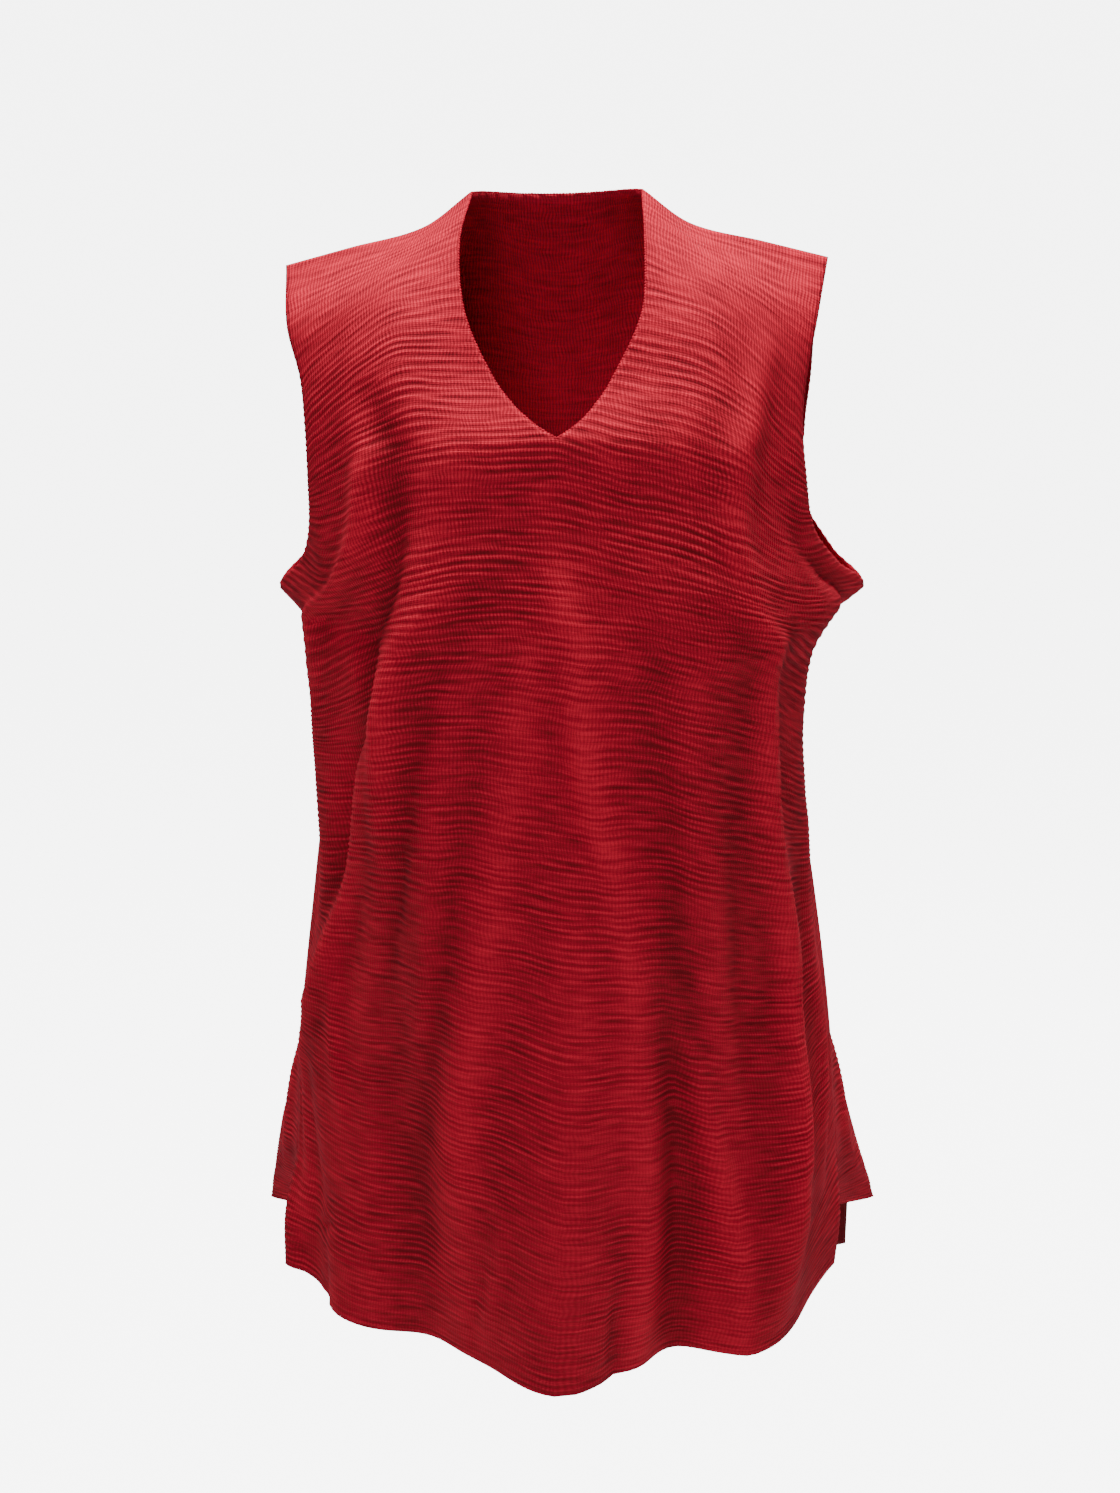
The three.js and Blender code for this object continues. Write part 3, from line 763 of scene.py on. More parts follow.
def lay_cloth(piece: bpy.types.Object, cloth: np.ndarray) -> None:
    """Gives a piece a UV map in metres of cloth.

    Args:
        piece: the mesh object.
        cloth: for each vertex, its place across and up the cloth in mm.
    """
    corners = np.empty(len(piece.data.loops), dtype=np.int32)
    piece.data.loops.foreach_get("vertex_index", corners)
    layer = piece.data.uv_layers.new(name="cloth")
    layer.uv.foreach_set("vector", (cloth[corners] * MM).ravel().astype(np.float32))


# ------------------------------------------------------------------ the panels

# How strong the ripples are: their mean and its change over the cloth, and what they lose on
# the stretched shoulders and where the hem lies behind them.
RIPPLE_MEAN, RIPPLE_CHANGE = 0.95, 0.25
RIPPLE_DRIFT = Drift(length=120, seed=5)
STRETCHED_LEVELS, STRETCHED_LOSS = (690, 790), 0.45
HEM_LOSS = 0.3
HEM_PRINT, PRINT_CHANGE = 0.25, 0.25  # mm by which the hem shows through, and its change
PRINT_DRIFT = Drift(length=90, seed=8)
PRINT_EDGE = 1.5  # mm, half the width over which the print ends
SEAM_COLUMNS = 2  # beside a side seam, over which the relief comes up
SEAM_HEIGHT = 4  # mm below the shoulder seam, over which it does


@dataclass
class Panel:
    """One panel of the blouse, front or back, as a fine sheet with its folds and ripples."""

    name: str
    face: Face
    table: list[dict]
    folds: tuple[Fold, ...]
    creases: tuple[Fold, ...]
    swell: Swell
    grain: list[dict]
    ripples: Ripples
    places: np.ndarray = field(init=False)  # the sheet's places across, from -1 to 1
    sheet: Sheet = field(init=False)

    def __post_init__(self) -> None:
        """Merges the side seam into the panel's table and builds the sheet."""
        self.table = sorted(self.table + SIDE_SEAM, key=lambda row: row["level"])
        self.sheet = self.make_sheet()

    def half_section(self, level: float) -> tuple[np.ndarray, np.ndarray, np.ndarray]:
        """Half a section at a level, from the centre or the neck edge to the side.

        Returns:
            The points in mm, their places across as the folds count them, from 0 to 1, and
            their distances from the centre line along the cloth in mm.
        """
        if self.face is Face.FRONT:
            return self.front_half(level)
        return self.back_half(level)

    def outer_marks(self, total: float) -> np.ndarray:
        """Lengths of the columns from the neck to the side, the last few over the allowance."""
        even = np.linspace(0, total - VENT_TURN, HALF_COLUMNS - EDGE_COLUMNS + 1)
        return np.concatenate([even, np.linspace(total - VENT_TURN, total, EDGE_COLUMNS + 1)[1:]])

    def front_half(self, level: float) -> tuple[np.ndarray, np.ndarray, np.ndarray]:
        """Half a section of the front.

        Args:
            level: in mm.

        Returns:
            What half_section returns.
        """
        names = ("neck", "chest", "turn", "side")
        stations = np.array([station(self.table, name, level) for name in names])
        if level <= V_LEVEL:
            stations[0, 0] = 0
        free = stations[1] - stations[0]
        free /= np.linalg.norm(free)
        blend = smoothstep(*V_BLEND, level)
        curve = station_curve(stations, SIDEWAYS * (1 - blend) + free * blend)
        total = running_lengths(curve)[-1]
        marks = self.outer_marks(total)
        share = (CAD_COLUMNS - 1) / CAD_COLUMNS
        across = np.interp(marks, [0, total - VENT_TURN, total], [0, share, 1])
        return along_curve(curve, marks), across, marks + stations[0, 0]

    def back_half(self, level: float) -> tuple[np.ndarray, np.ndarray, np.ndarray]:
        """Half a section of the back.

        Args:
            level: in mm.

        Returns:
            What half_section returns.
        """
        names = ("centre", "neck", "chest", "turn", "side")
        centre, *others = (station(self.table, name, level) for name in names)
        stations = np.array(others)
        neck, chest = stations[0], stations[1]
        corner = smoothstep(*NECK_BLEND, level)
        flowing = (chest - centre) / np.linalg.norm(chest - centre)
        into_neck = flowing * (1 - corner) + INTO_NECK * corner
        into_neck /= np.linalg.norm(into_neck)
        free = (chest - neck) / np.linalg.norm(chest - neck)
        span = np.linalg.norm(neck - centre) * (1 + NECK_FULLNESS * corner)
        t = np.linspace(0, 1, CURVE_SAMPLES + 1)
        under = hermite(centre, neck, SIDEWAYS, into_neck, span, t)
        width = running_lengths(under)[-1]
        outer = station_curve(stations, flowing * (1 - corner) + free * corner)
        total = running_lengths(outer)[-1]
        inner_marks = np.linspace(0, width, NECK_COLUMNS + 1)[:-1]
        outer_marks = self.outer_marks(total)
        points = np.vstack([along_curve(under, inner_marks), along_curve(outer, outer_marks)])
        marks = np.concatenate([inner_marks, width + outer_marks])
        knots = [0, width, width + total - VENT_TURN, width + total]
        columns = CAD_NECK_COLUMNS + CAD_COLUMNS
        places = np.array([0, CAD_NECK_COLUMNS, columns - 1, columns]) / columns
        return points, np.interp(marks, knots, places), marks

    def half_rows(self, sign: int, sections: list[tuple]) -> tuple[np.ndarray, ...]:
        """One half of the panel, mirrored for the right side, with its large folds.

        Args:
            sign: 1 for the wearer's left half, -1 for the right.
            sections: the half section at each level.

        Returns:
            Points, places across, distances across and how far the folds stand out, one row
            for each level.
        """
        rows = []
        for level, (section, across, distance) in zip(LEVELS, sections):
            run = np.gradient(section, axis=0)
            out = np.stack([run[:, 1], -run[:, 0], np.zeros(len(run))], axis=1)
            out /= np.linalg.norm(out, axis=1, keepdims=True)
            width = running_lengths(section)[-1]
            folds = self.folds + self.creases
            push = sum(fold.push(sign * across, level, width) for fold in folds)
            push = (push + self.swell.push(sign * across, level)) * self.seam_ease(level, distance)
            # the creases' stand, which the knit's colour turns into painted light on crests and
            # painted shade on flanks
            stand = sum(fold.stand(sign * across, level, width) for fold in self.creases)
            moved = section + out * (self.face.value * push)[:, None]
            x = sign * moved[:, 0] + station(self.table, "shift", level)[0]
            tilt = SHOULDER_TILT * smoothstep(UNDERARM_LEVEL, SHOULDER_LEVEL, level)
            points = np.stack([x, moved[:, 1], moved[:, 2] + tilt * x], axis=1)
            rows.append((points, sign * across, sign * distance, np.clip(stand, -1, 1)))
        return tuple(np.array(values) for values in zip(*rows))

    def seam_ease(self, level: float, distance: np.ndarray) -> np.ndarray:
        """How free the cloth is to fold: 0 where it is sewn, and 1 a little way from there."""
        from_side = smoothstep(0, VENT_TURN, distance[-1] - distance)
        return from_side * (1 - smoothstep(*SHOULDER_BLEND, level))

    def make_sheet(self) -> Sheet:
        """Joins both halves of the panel and keeps their places across.

        Returns:
            The panel's sheet, with its rows level.
        """
        sections = [self.half_section(level) for level in LEVELS]
        right, left = self.half_rows(-1, sections), self.half_rows(1, sections)
        points, places, distances, stand = (
            np.concatenate([a[:, ::-1], b], axis=1) for a, b in zip(right, left)
        )
        self.places = places
        levels = np.repeat(LEVELS[:, None], points.shape[1], axis=1)
        cut = V_ROW if self.face is Face.FRONT else TOP_ROW
        return Sheet(self.face, points, distances, levels, LEVELS, cut, stand)

    def grain_levels(self) -> np.ndarray:
        """Where the courses of the knit lie.

        Returns:
            The level in mm at each grid place of a sheet whose rows follow the courses.
        """
        knots = [row["level"] for row in self.grain]
        rises = spline(knots, [row["rise"] for row in self.grain], LEVELS)
        return LEVELS[:, None] + spline(GRAIN_PLACES, rises.T, self.places[0]).T

    def along_grain(self) -> Sheet:
        """Lays the rows of the sheet along the courses of the knit.

        Returns:
            A new sheet on the same cloth.
        """
        sheet, levels = self.sheet, self.grain_levels()

        def moved(values: np.ndarray) -> np.ndarray:
            """Values of the sheet, read at the levels of the courses."""
            columns = [np.interp(levels[:, c], LEVELS, values[:, c]) for c in range(levels.shape[1])]
            return np.stack(columns, axis=1)

        points, normals = (
            np.stack([moved(values[:, :, axis]) for axis in range(3)], axis=2)
            for values in (sheet.points, sheet.normals)
        )
        across, stand = moved(sheet.across), moved(sheet.stand)
        laid = Sheet(sheet.face, points, across, sheet.course, levels, sheet.open_from, stand)
        laid.normals = normals
        return laid

    def rippling(self, sheet: Sheet) -> np.ndarray:
        """How high the ripples are.

        Args:
            sheet: the panel's sheet, laid along the courses.

        Returns:
            The height at each grid place, counted in usual crests.
        """
        strength = RIPPLE_MEAN + RIPPLE_CHANGE * RIPPLE_DRIFT.at(sheet.across, sheet.course)
        strength *= 1 - STRETCHED_LOSS * smoothstep(*STRETCHED_LEVELS, sheet.course)
        strength *= 1 - HEM_LOSS * self.over_hem(sheet)
        return strength * self.ripples.at(sheet.across, sheet.course)

    def over_hem(self, sheet: Sheet) -> np.ndarray:
        """1 where the turned-up hem lies behind the sheet and 0 elsewhere."""
        return 1 - smoothstep(HEM_DEPTH - PRINT_EDGE, HEM_DEPTH + PRINT_EDGE, sheet.levels)

    def relief(self, sheet: Sheet) -> np.ndarray:
        """How far the ripples and the hem's print push the outer face of a sheet out, in mm."""
        pressed = HEM_PRINT + PRINT_CHANGE * PRINT_DRIFT.at(sheet.across, sheet.course)
        return self.ripples.height * self.rippling(sheet) + pressed * self.over_hem(sheet)

    def sewn_ease(self, sheet: Sheet) -> np.ndarray:
        """How freely the relief shows beside the seams.

        Args:
            sheet: the panel's sheet, laid along the courses.

        Returns:
            0 along the side and shoulder seams and 1 a little way from them.
        """
        columns = np.arange(sheet.points.shape[1])
        edge = np.minimum(columns, columns[::-1])
        sewn = (sheet.levels >= VENT_LENGTH) & (sheet.levels <= UNDERARM_LEVEL)
        side = np.where(sewn, smoothstep(0, SEAM_COLUMNS, edge)[None, :], 1)
        return side * smoothstep(0, SEAM_HEIGHT, SHOULDER_LEVEL - sheet.levels)

    def build(self) -> bpy.types.Object:
        """Makes the panel's wall.

        Returns:
            The mesh object, with no material yet.
        """
        sheet = self.along_grain()
        ease = self.sewn_ease(sheet)
        rise = self.relief(sheet) * ease
        thick = WALL / MM / 2
        outer = sheet.points + sheet.normals * (thick + rise)[:, :, None]
        inner = sheet.points - sheet.normals * thick
        rows = np.array(sorted({*range(0, TOP_ROW, INNER_ROWS), V_ROW, TOP_ROW}))
        return Wall(sheet, outer, inner, rows, self.rippling(sheet) * ease).build(self.name)


def sew(first: Sheet, second: Sheet, edges: list[tuple[int, int]], inward: tuple[int, int]) -> None:
    """Turns the edges of two sheets at their seam, so that their walls meet.

    Args:
        first: one sheet.
        second: the other, whose grid places along the seam are the same, counted from a side.
        edges: the grid places along the seam.
        inward: the step from an edge place to one well inside the sheets.
    """
    rows, columns = (np.array(values) for values in zip(*edges))
    inside = rows + inward[0], columns + inward[1]
    sheets = (first, second)
    units = [sheet.normals[rows, columns] for sheet in sheets]
    units = [unit / np.linalg.norm(unit, axis=1, keepdims=True) for unit in units]
    shared = units[0] + units[1]
    shared /= np.linalg.norm(shared, axis=1, keepdims=True)
    scale = 1 / np.maximum((shared * units[0]).sum(1), SHARPEST_MITRE)
    for sheet in sheets:
        into = sheet.points[inside] - sheet.points[rows, columns]
        into -= shared * (into * shared).sum(1)[:, None]
        into /= np.linalg.norm(into, axis=1, keepdims=True)
        sheet.points[rows, columns] -= into * SEAM_LAP / MM / 2
        sheet.normals[rows, columns] = shared * scale[:, None]


def slab(
    name: str, face: Face, outer: np.ndarray, inner: np.ndarray, cloth: np.ndarray
) -> bpy.types.Object:
    """A closed strip of cloth between two grids of points.

    Args:
        name: the piece's name.
        face: which way the strip's outer side faces.
        outer: rows x columns x 3 points of the outer side, mm.
        inner: those of the inner side.
        cloth: rows x columns x 2 cloth coordinates, mm.

    Returns:
        The mesh object.
    """
    rows, columns = outer.shape[:2]
    ids = np.arange(rows * columns).reshape(rows, columns)
    quads = np.stack([ids[:-1, :-1], ids[:-1, 1:], ids[1:, 1:], ids[1:, :-1]], axis=2)
    faces = quads.reshape(-1, 4).tolist()
    faces += (quads.reshape(-1, 4)[:, ::-1] + ids.size).tolist()
    edge = [*ids[0], *ids[1:, -1], *ids[-1, -2::-1], *ids[-2::-1, 0]]
    for a, b in zip(edge, edge[1:]):
        faces.append([int(a), int(a + ids.size), int(b + ids.size), int(b)])
    if face is Face.BACK:
        faces = [f[::-1] for f in faces]
    piece = mesh_object(name, np.vstack([outer.reshape(-1, 3), inner.reshape(-1, 3)]), faces)
    lay_cloth(piece, np.vstack([cloth.reshape(-1, 2)] * 2))
    return piece


# How far in the middles of the hem and of the vent allowances lie, in mm.
HEM_INSET = -(WALL / 2 + SEAM_GAP + HEM_WALL / 2) / MM
VENT_INSET = HEM_INSET - (HEM_WALL + 2 * SEAM_GAP) / MM
VENT_EDGE_INSET = 2.0  # mm by which an allowance stays inside its panel's edge
DROP_ROWS = 11  # of the part that hangs down


@dataclass
class Turnings:
    """The turned-up hem of a panel and the allowances turned in along its vents."""

    panel: Panel
    row_step: int = 3  # a turning takes every third row of its panel

    def strip(
        self, name: str, rows: list[int], columns: list[int], inset: float, drop: float
    ) -> bpy.types.Object:
        """A strip inside the panel.

        Args:
            name: the piece's name.
            rows: the panel's rows that it takes.
            columns: the panel's columns that it takes.
            inset: how far in its middle lies, mm, as a negative height.
            drop: how far it hangs straight down below its lowest row, mm.

        Returns:
            The mesh object, with no material yet.
        """
        sheet = self.panel.sheet
        grid = np.ix_(rows, columns)
        points, normals = sheet.points[grid].copy(), sheet.normals[grid]
        cloth = np.stack([sheet.across[grid], sheet.course[grid]], axis=2)
        if len(columns) < sheet.half:
            edge, near = (0, 1) if columns[0] == 0 else (-1, -2)
            into = points[:, near] - points[:, edge]
            into /= np.linalg.norm(into, axis=1, keepdims=True)
            points[:, edge] += into * VENT_EDGE_INSET
        if drop:
            falls = np.linspace(drop, 0, DROP_ROWS + 1)[:-1, None, None]
            below = points[:1] - falls * np.array([0, 0, 1])
            points = np.concatenate([below, points])
            normals = np.concatenate([np.repeat(normals[:1], len(falls), axis=0), normals])
            cloth = np.concatenate([cloth[:1] - falls[:, :, :1] * np.array([0, 1]), cloth])
        half_wall = HEM_WALL / MM / 2
        outer = points + normals * (inset + half_wall)
        inner = points + normals * (inset - half_wall)
        return slab(name, self.panel.face, outer, inner, cloth)

    def build(self, dropped: bool) -> list[bpy.types.Object]:
        """Makes the hem and both vent allowances.

        Args:
            dropped: whether the left allowance has come unfolded and hangs below the hem.

        Returns:
            The hem, the right allowance and the left one.
        """
        word = self.panel.face.name.lower()
        last = self.panel.sheet.points.shape[1] - 1
        hem_rows = sorted({*range(0, HEM_ROW, self.row_step), HEM_ROW})
        hem_columns = [c for c in range(last + 1) if c != self.panel.sheet.half + 1]
        vent_rows = sorted({*range(0, VENT_ROW, self.row_step), VENT_ROW})
        right = list(range(EDGE_COLUMNS + 1))
        left = [last - c for c in right[::-1]]
        drop = DROPPED_TURN if dropped else 0
        return [
            self.strip(f"{word}_hem_turning", hem_rows, hem_columns, HEM_INSET, 0),
            self.strip(f"{word}_vent_turning_right", vent_rows, right, VENT_INSET, 0),
            self.strip(f"{word}_vent_turning_left", vent_rows, left, VENT_INSET, drop),
        ]


# ------------------------------------------------------------------ finishes


def feed(tree: bpy.types.NodeTree, socket: bpy.types.NodeSocket, value: object) -> None:
    """Gives an input its value, or links it to the output that is given as its value."""
    if isinstance(value, bpy.types.NodeSocket):
        tree.links.new(value, socket)
    else:
        socket.default_value = value


def add_node(
    tree: bpy.types.NodeTree, kind: str, inputs: dict | None = None, **settings: object
) -> bpy.types.Node:
    """A new node of a tree.

    Args:
        tree: the tree.
        kind: the node's type.
        inputs: values, or outputs of other nodes, by the name or number of the input.
        **settings: the node's own settings.

    Returns:
        The node.
    """
    node = tree.nodes.new(kind)
    for name, value in settings.items():
        setattr(node, name, value)
    for key, value in (inputs or {}).items():
        feed(tree, node.inputs[key], value)
    return node


def maths(tree: bpy.types.NodeTree, operation: str, *values: object) -> bpy.types.NodeSocket:
    """The output of a Math node of a tree, with numbers or other outputs as its inputs."""
    return add_node(tree, "ShaderNodeMath", dict(enumerate(values)), operation=operation).outputs[0]


def noise(
    tree: bpy.types.NodeTree, place: bpy.types.NodeSocket, scale: float, detail: float = 2.0
) -> bpy.types.NodeSocket:
    """Smooth noise over the cloth, from 0 to 1, with scale patches to a unit of the place."""
    inputs = {"Vector": place, "Scale": scale, "Detail": detail}
    return add_node(tree, "ShaderNodeTexNoise", inputs).outputs["Fac"]


def wave(
    tree: bpy.types.NodeTree, place: bpy.types.NodeSocket, pitch: bpy.types.NodeSocket
) -> bpy.types.NodeSocket:
    """A cosine wave along the cloth, with a crest at each pitch."""
    turns = maths(tree, "DIVIDE", place, pitch)
    return maths(tree, "COSINE", maths(tree, "MULTIPLY", turns, 2 * math.pi))


def add_inputs(tree: bpy.types.NodeTree, sizes: dict[str, float]) -> None:
    """Gives a node group an input for each named size."""
    for name, value in sizes.items():
        socket = tree.interface.new_socket(name, in_out="INPUT", socket_type="NodeSocketFloat")
        socket.default_value = value


FIBRE_SCALE, SWAY_SCALE, PATCH_SCALE = 1600, 60, 14  # of the cloth's noise, to a metre
SWAY = 0.005  # m by which the wales wander
WALE_DEPTH = {"From Min": 0.25, "From Max": 0.65, "To Min": 0.18, "To Max": 0.46}  # m up, depth
COURSE_DEPTH = 0.12
SLUB_SCALES = (45, 400, 1)  # of the slubs, to a metre across and up: they lie crosswise
SLUB_DEPTH = 0.9


def knit_group() -> bpy.types.NodeTree:
    """The fine relief of the rib knit: upright wales crossed by courses, with loose fibres.

    Returns:
        The group. It puts out the height for a bump, the stitch, which is high on each loop of
        yarn, and the slub, which is high where the yarn is thick.
    """
    tree = bpy.data.node_groups.new("rib_knit", "ShaderNodeTree")
    tree.interface.new_socket("Cloth", in_out="INPUT", socket_type="NodeSocketVector")
    add_inputs(tree, {"Wale Pitch": 0.0021, "Course Pitch": 0.0013, "Fuzz": 0.25})
    for name in ("Height", "Stitch", "Slub"):
        tree.interface.new_socket(name, in_out="OUTPUT", socket_type="NodeSocketFloat")
    start = add_node(tree, "NodeGroupInput").outputs
    cloth = start["Cloth"]
    split = add_node(tree, "ShaderNodeSeparateXYZ", {0: cloth}).outputs
    swayed = maths(tree, "MULTIPLY_ADD", noise(tree, cloth, SWAY_SCALE), SWAY, split["X"])
    wale = wave(tree, swayed, start["Wale Pitch"])
    course = wave(tree, split["Y"], start["Course Pitch"])
    depth = add_node(tree, "ShaderNodeMapRange", {"Value": split["Y"], **WALE_DEPTH}).outputs[0]
    stitch = maths(tree, "MULTIPLY_ADD", wale, depth, 0.5)
    stitch = maths(tree, "MULTIPLY_ADD", course, COURSE_DEPTH, stitch)
    crosswise = add_node(
        tree, "ShaderNodeVectorMath", {0: cloth, 1: SLUB_SCALES}, operation="MULTIPLY"
    )
    slub = noise(tree, crosswise.outputs[0], 1, 3)
    fuzz = maths(tree, "MULTIPLY", noise(tree, cloth, FIBRE_SCALE), start["Fuzz"])
    rough = maths(tree, "MULTIPLY_ADD", slub, SLUB_DEPTH, fuzz)
    outputs = {"Height": maths(tree, "ADD", stitch, rough), "Stitch": stitch, "Slub": slub}
    add_node(tree, "NodeGroupOutput", outputs)
    return tree


@dataclass(frozen=True)
class KnitFinish:
    """The matt red knit, with painted light and shade in its colour."""

    name: str
    bright: tuple[float, float, float] = (0.68, 0.0175, 0.044)
    deep: tuple[float, float, float] = (0.17, 0.0065, 0.0125)
    roughness: float = 0.84  # between the stitches
    smoothness: float = 0.12  # by which a stitch's top is smoother
    relief: float = 0.00035  # m, of the wales
    specular: float = 0.06
    sheen: float = 0.01
    sheen_roughness: float = 0.45
    sheen_tint: tuple[float, float, float] = (1.0, 0.3, 0.35)
    painted_crest_light: tuple[float, float] = (0.6, 0.25)  # painted highlight on a ripple's crest: on its stitches, anywhere
    # painted highlight on the loops of yarn and painted shade between them
    painted_stitch_light: float = 0.2
    slub_light: float = 1.3
    patch_light: float = 0.3
    painted_fold_light: float = 0.28  # painted light on a fold's crest and painted shade on its flanks
    shade: float = 0.68  # taken off all these

    def lightness(
        self, tree: bpy.types.NodeTree, cloth: bpy.types.NodeSocket, knit: bpy.types.Node
    ) -> bpy.types.NodeSocket:
        """How bright the knit is, from 0 for its deep colour to 1 for its bright one: partly painted
        light and shade.

        Args:
            tree: the material's tree.
            cloth: the place on the cloth.
            knit: the knit group's node.

        Returns:
            The output that carries it.
        """
        ripple, stand = (
            add_node(tree, "ShaderNodeAttribute", attribute_name=name).outputs["Fac"]
            for name in ("ripple", "stand")
        )
        stitch, slub = knit.outputs["Stitch"], knit.outputs["Slub"]
        # painted highlight on the ripples' crests, strongest on the stitches, and painted shade in
        # their troughs
        crest = maths(tree, "MULTIPLY_ADD", ripple, 0.5, 0.5)
        light = maths(tree, "MULTIPLY", crest, maths(tree, "MULTIPLY_ADD", stitch, *self.painted_crest_light))
        patches = noise(tree, cloth, PATCH_SCALE, 4)
        for part, share in (
            # painted highlight on the loops of yarn and painted shade between them
            (stitch, self.painted_stitch_light),
            (slub, self.slub_light),
            (patches, self.patch_light),
            # painted light on fold crests and painted shade on their flanks
            (stand, self.painted_fold_light),
        ):
            light = maths(tree, "MULTIPLY_ADD", part, share, light)
        return maths(tree, "SUBTRACT", light, self.shade)

    def material(self, knit: bpy.types.NodeTree) -> bpy.types.Material:
        """Makes the material.

        Args:
            knit: the shared knit group.

        Returns:
            The material, which reads the cloth map and the attributes ripple and stand.
        """
        material = bpy.data.materials.new(self.name)
        material.use_nodes = True
        tree = material.node_tree
        shader = tree.nodes["Principled BSDF"]
        shader.inputs["Sheen Weight"].default_value = self.sheen
        shader.inputs["Sheen Roughness"].default_value = self.sheen_roughness
        shader.inputs["Sheen Tint"].default_value = (*self.sheen_tint, 1)
        shader.inputs["Specular IOR Level"].default_value = self.specular
        cloth = add_node(tree, "ShaderNodeUVMap", uv_map="cloth").outputs[0]
        group = add_node(tree, "ShaderNodeGroup", {"Cloth": cloth}, node_tree=knit)
        mix = add_node(tree, "ShaderNodeMix", data_type="RGBA", clamp_factor=True)
        colours = self.lightness(tree, cloth, group), (*self.deep, 1), (*self.bright, 1)
        for number, value in zip((0, 6, 7), colours):  # a Mix node's factor and two colours
            feed(tree, mix.inputs[number], value)
        tree.links.new(mix.outputs[2], shader.inputs["Base Color"])
        stitch = group.outputs["Stitch"]
        rough = maths(tree, "MULTIPLY_ADD", stitch, -self.smoothness, self.roughness)
        tree.links.new(rough, shader.inputs["Roughness"])
        relief = {"Distance": self.relief, "Height": group.outputs["Height"]}
        bump = add_node(tree, "ShaderNodeBump", relief)
        tree.links.new(bump.outputs[0], shader.inputs["Normal"])
        return material


# ------------------------------------------------------------------ the neck edge


LOOP_SEED = 5
LOOP_SIZES = {"Pitch": 0.0021, "Loop Length": 0.0024, "Loop Width": 0.0018, "Loop Depth": 0.0016}
LOOP_FACETS = {"Segments": 8, "Rings": 5, "Radius": 0.5}
LOOP_SCALES = {2: 0.85, 3: 1.1}  # the least and the most, by the Random Value node's inputs


def loops_group(material: bpy.types.Material) -> bpy.types.NodeTree:
    """A tree that sets small loops of yarn in a row along a line of edges.

    Args:
        material: what the loops are made of.

    Returns:
        The Geometry Nodes tree, with the line and the loops' sizes, in metres, as its inputs.
    """
    tree = bpy.data.node_groups.new("edge_loops", "GeometryNodeTree")
    tree.interface.new_socket("Line", in_out="INPUT", socket_type="NodeSocketGeometry")
    add_inputs(tree, LOOP_SIZES)
    tree.interface.new_socket("Loops", in_out="OUTPUT", socket_type="NodeSocketGeometry")
    start = add_node(tree, "NodeGroupInput").outputs
    curve = add_node(tree, "GeometryNodeMeshToCurve", {"Mesh": start["Line"]})
    along = {"Curve": curve.outputs["Curve"], "Length": start["Pitch"]}
    points = add_node(tree, "GeometryNodeCurveToPoints", along, mode="LENGTH").outputs
    loop = add_node(tree, "GeometryNodeMeshUVSphere", LOOP_FACETS)
    sizes = {"X": start["Loop Width"], "Y": start["Loop Depth"], "Z": start["Loop Length"]}
    size = add_node(tree, "ShaderNodeCombineXYZ", sizes)
    draws = {**LOOP_SCALES, "Seed": LOOP_SEED}
    vary = add_node(tree, "FunctionNodeRandomValue", draws, data_type="FLOAT")
    scale = add_node(
        tree,
        "ShaderNodeVectorMath",
        {0: size.outputs[0], "Scale": vary.outputs[1]},
        operation="SCALE",
    )
    placing = {
        "Points": points["Points"],
        "Instance": loop.outputs["Mesh"],
        "Rotation": points["Rotation"],
        "Scale": scale.outputs[0],
    }
    place = add_node(tree, "GeometryNodeInstanceOnPoints", placing)
    real = add_node(tree, "GeometryNodeRealizeInstances", {0: place.outputs[0]})
    position = add_node(tree, "GeometryNodeInputPosition").outputs[0]
    cloth = add_node(
        tree,
        "GeometryNodeStoreNamedAttribute",
        {"Geometry": real.outputs[0], "Name": "cloth", "Value": position},
        data_type="FLOAT2",
        domain="CORNER",
    )
    smooth = add_node(tree, "GeometryNodeSetShadeSmooth", {"Geometry": cloth.outputs[0]})
    dressing = {"Geometry": smooth.outputs[0], "Material": material}
    dress = add_node(tree, "GeometryNodeSetMaterial", dressing)
    add_node(tree, "NodeGroupOutput", {"Loops": dress.outputs[0]})
    return tree


@dataclass
class NeckEdge:
    """The row of small loops that finishes the knit around the neck."""

    front: Sheet
    back: Sheet

    def line(self) -> np.ndarray:
        """The line of the neck edge.

        Returns:
            Points in mm, once around: down the right side of the V, up its left side and back
            along the edge behind the neck.
        """
        front, back = self.front, self.back
        down = front.points[TOP_ROW:V_ROW:-1, front.half]
        up = front.points[V_ROW : TOP_ROW + 1, front.half + 1]
        first, last = back.half - NECK_COLUMNS, back.half + 1 + NECK_COLUMNS
        behind = np.delete(np.arange(first + 1, last), NECK_COLUMNS)
        return np.vstack([down, up, back.points[TOP_ROW, behind[::-1]]])

    def build(self, material: bpy.types.Material) -> bpy.types.Object:
        """Makes the loops as one plain mesh.

        Args:
            material: what the loops are made of.

        Returns:
            The mesh object, with no modifier.
        """
        points = self.line() * MM
        mesh = bpy.data.meshes.new("neck_line")
        ends = [(i, (i + 1) % len(points)) for i in range(len(points))]
        mesh.from_pydata(points.tolist(), ends, [])
        line = bpy.data.objects.new("neck_line", mesh)
        bpy.context.scene.collection.objects.link(line)
        modifier = line.modifiers.new("loops", "NODES")
        modifier.node_group = loops_group(material)
        shape = line.evaluated_get(bpy.context.evaluated_depsgraph_get())
        piece = bpy.data.objects.new("neck_edge", bpy.data.meshes.new_from_object(shape))
        bpy.data.objects.remove(line)
        bpy.context.scene.collection.objects.link(piece)
        return piece


# ------------------------------------------------------------------ studio


LIGHT_TARGET = Vector((0, 0, -0.35))  # the middle of the blouse


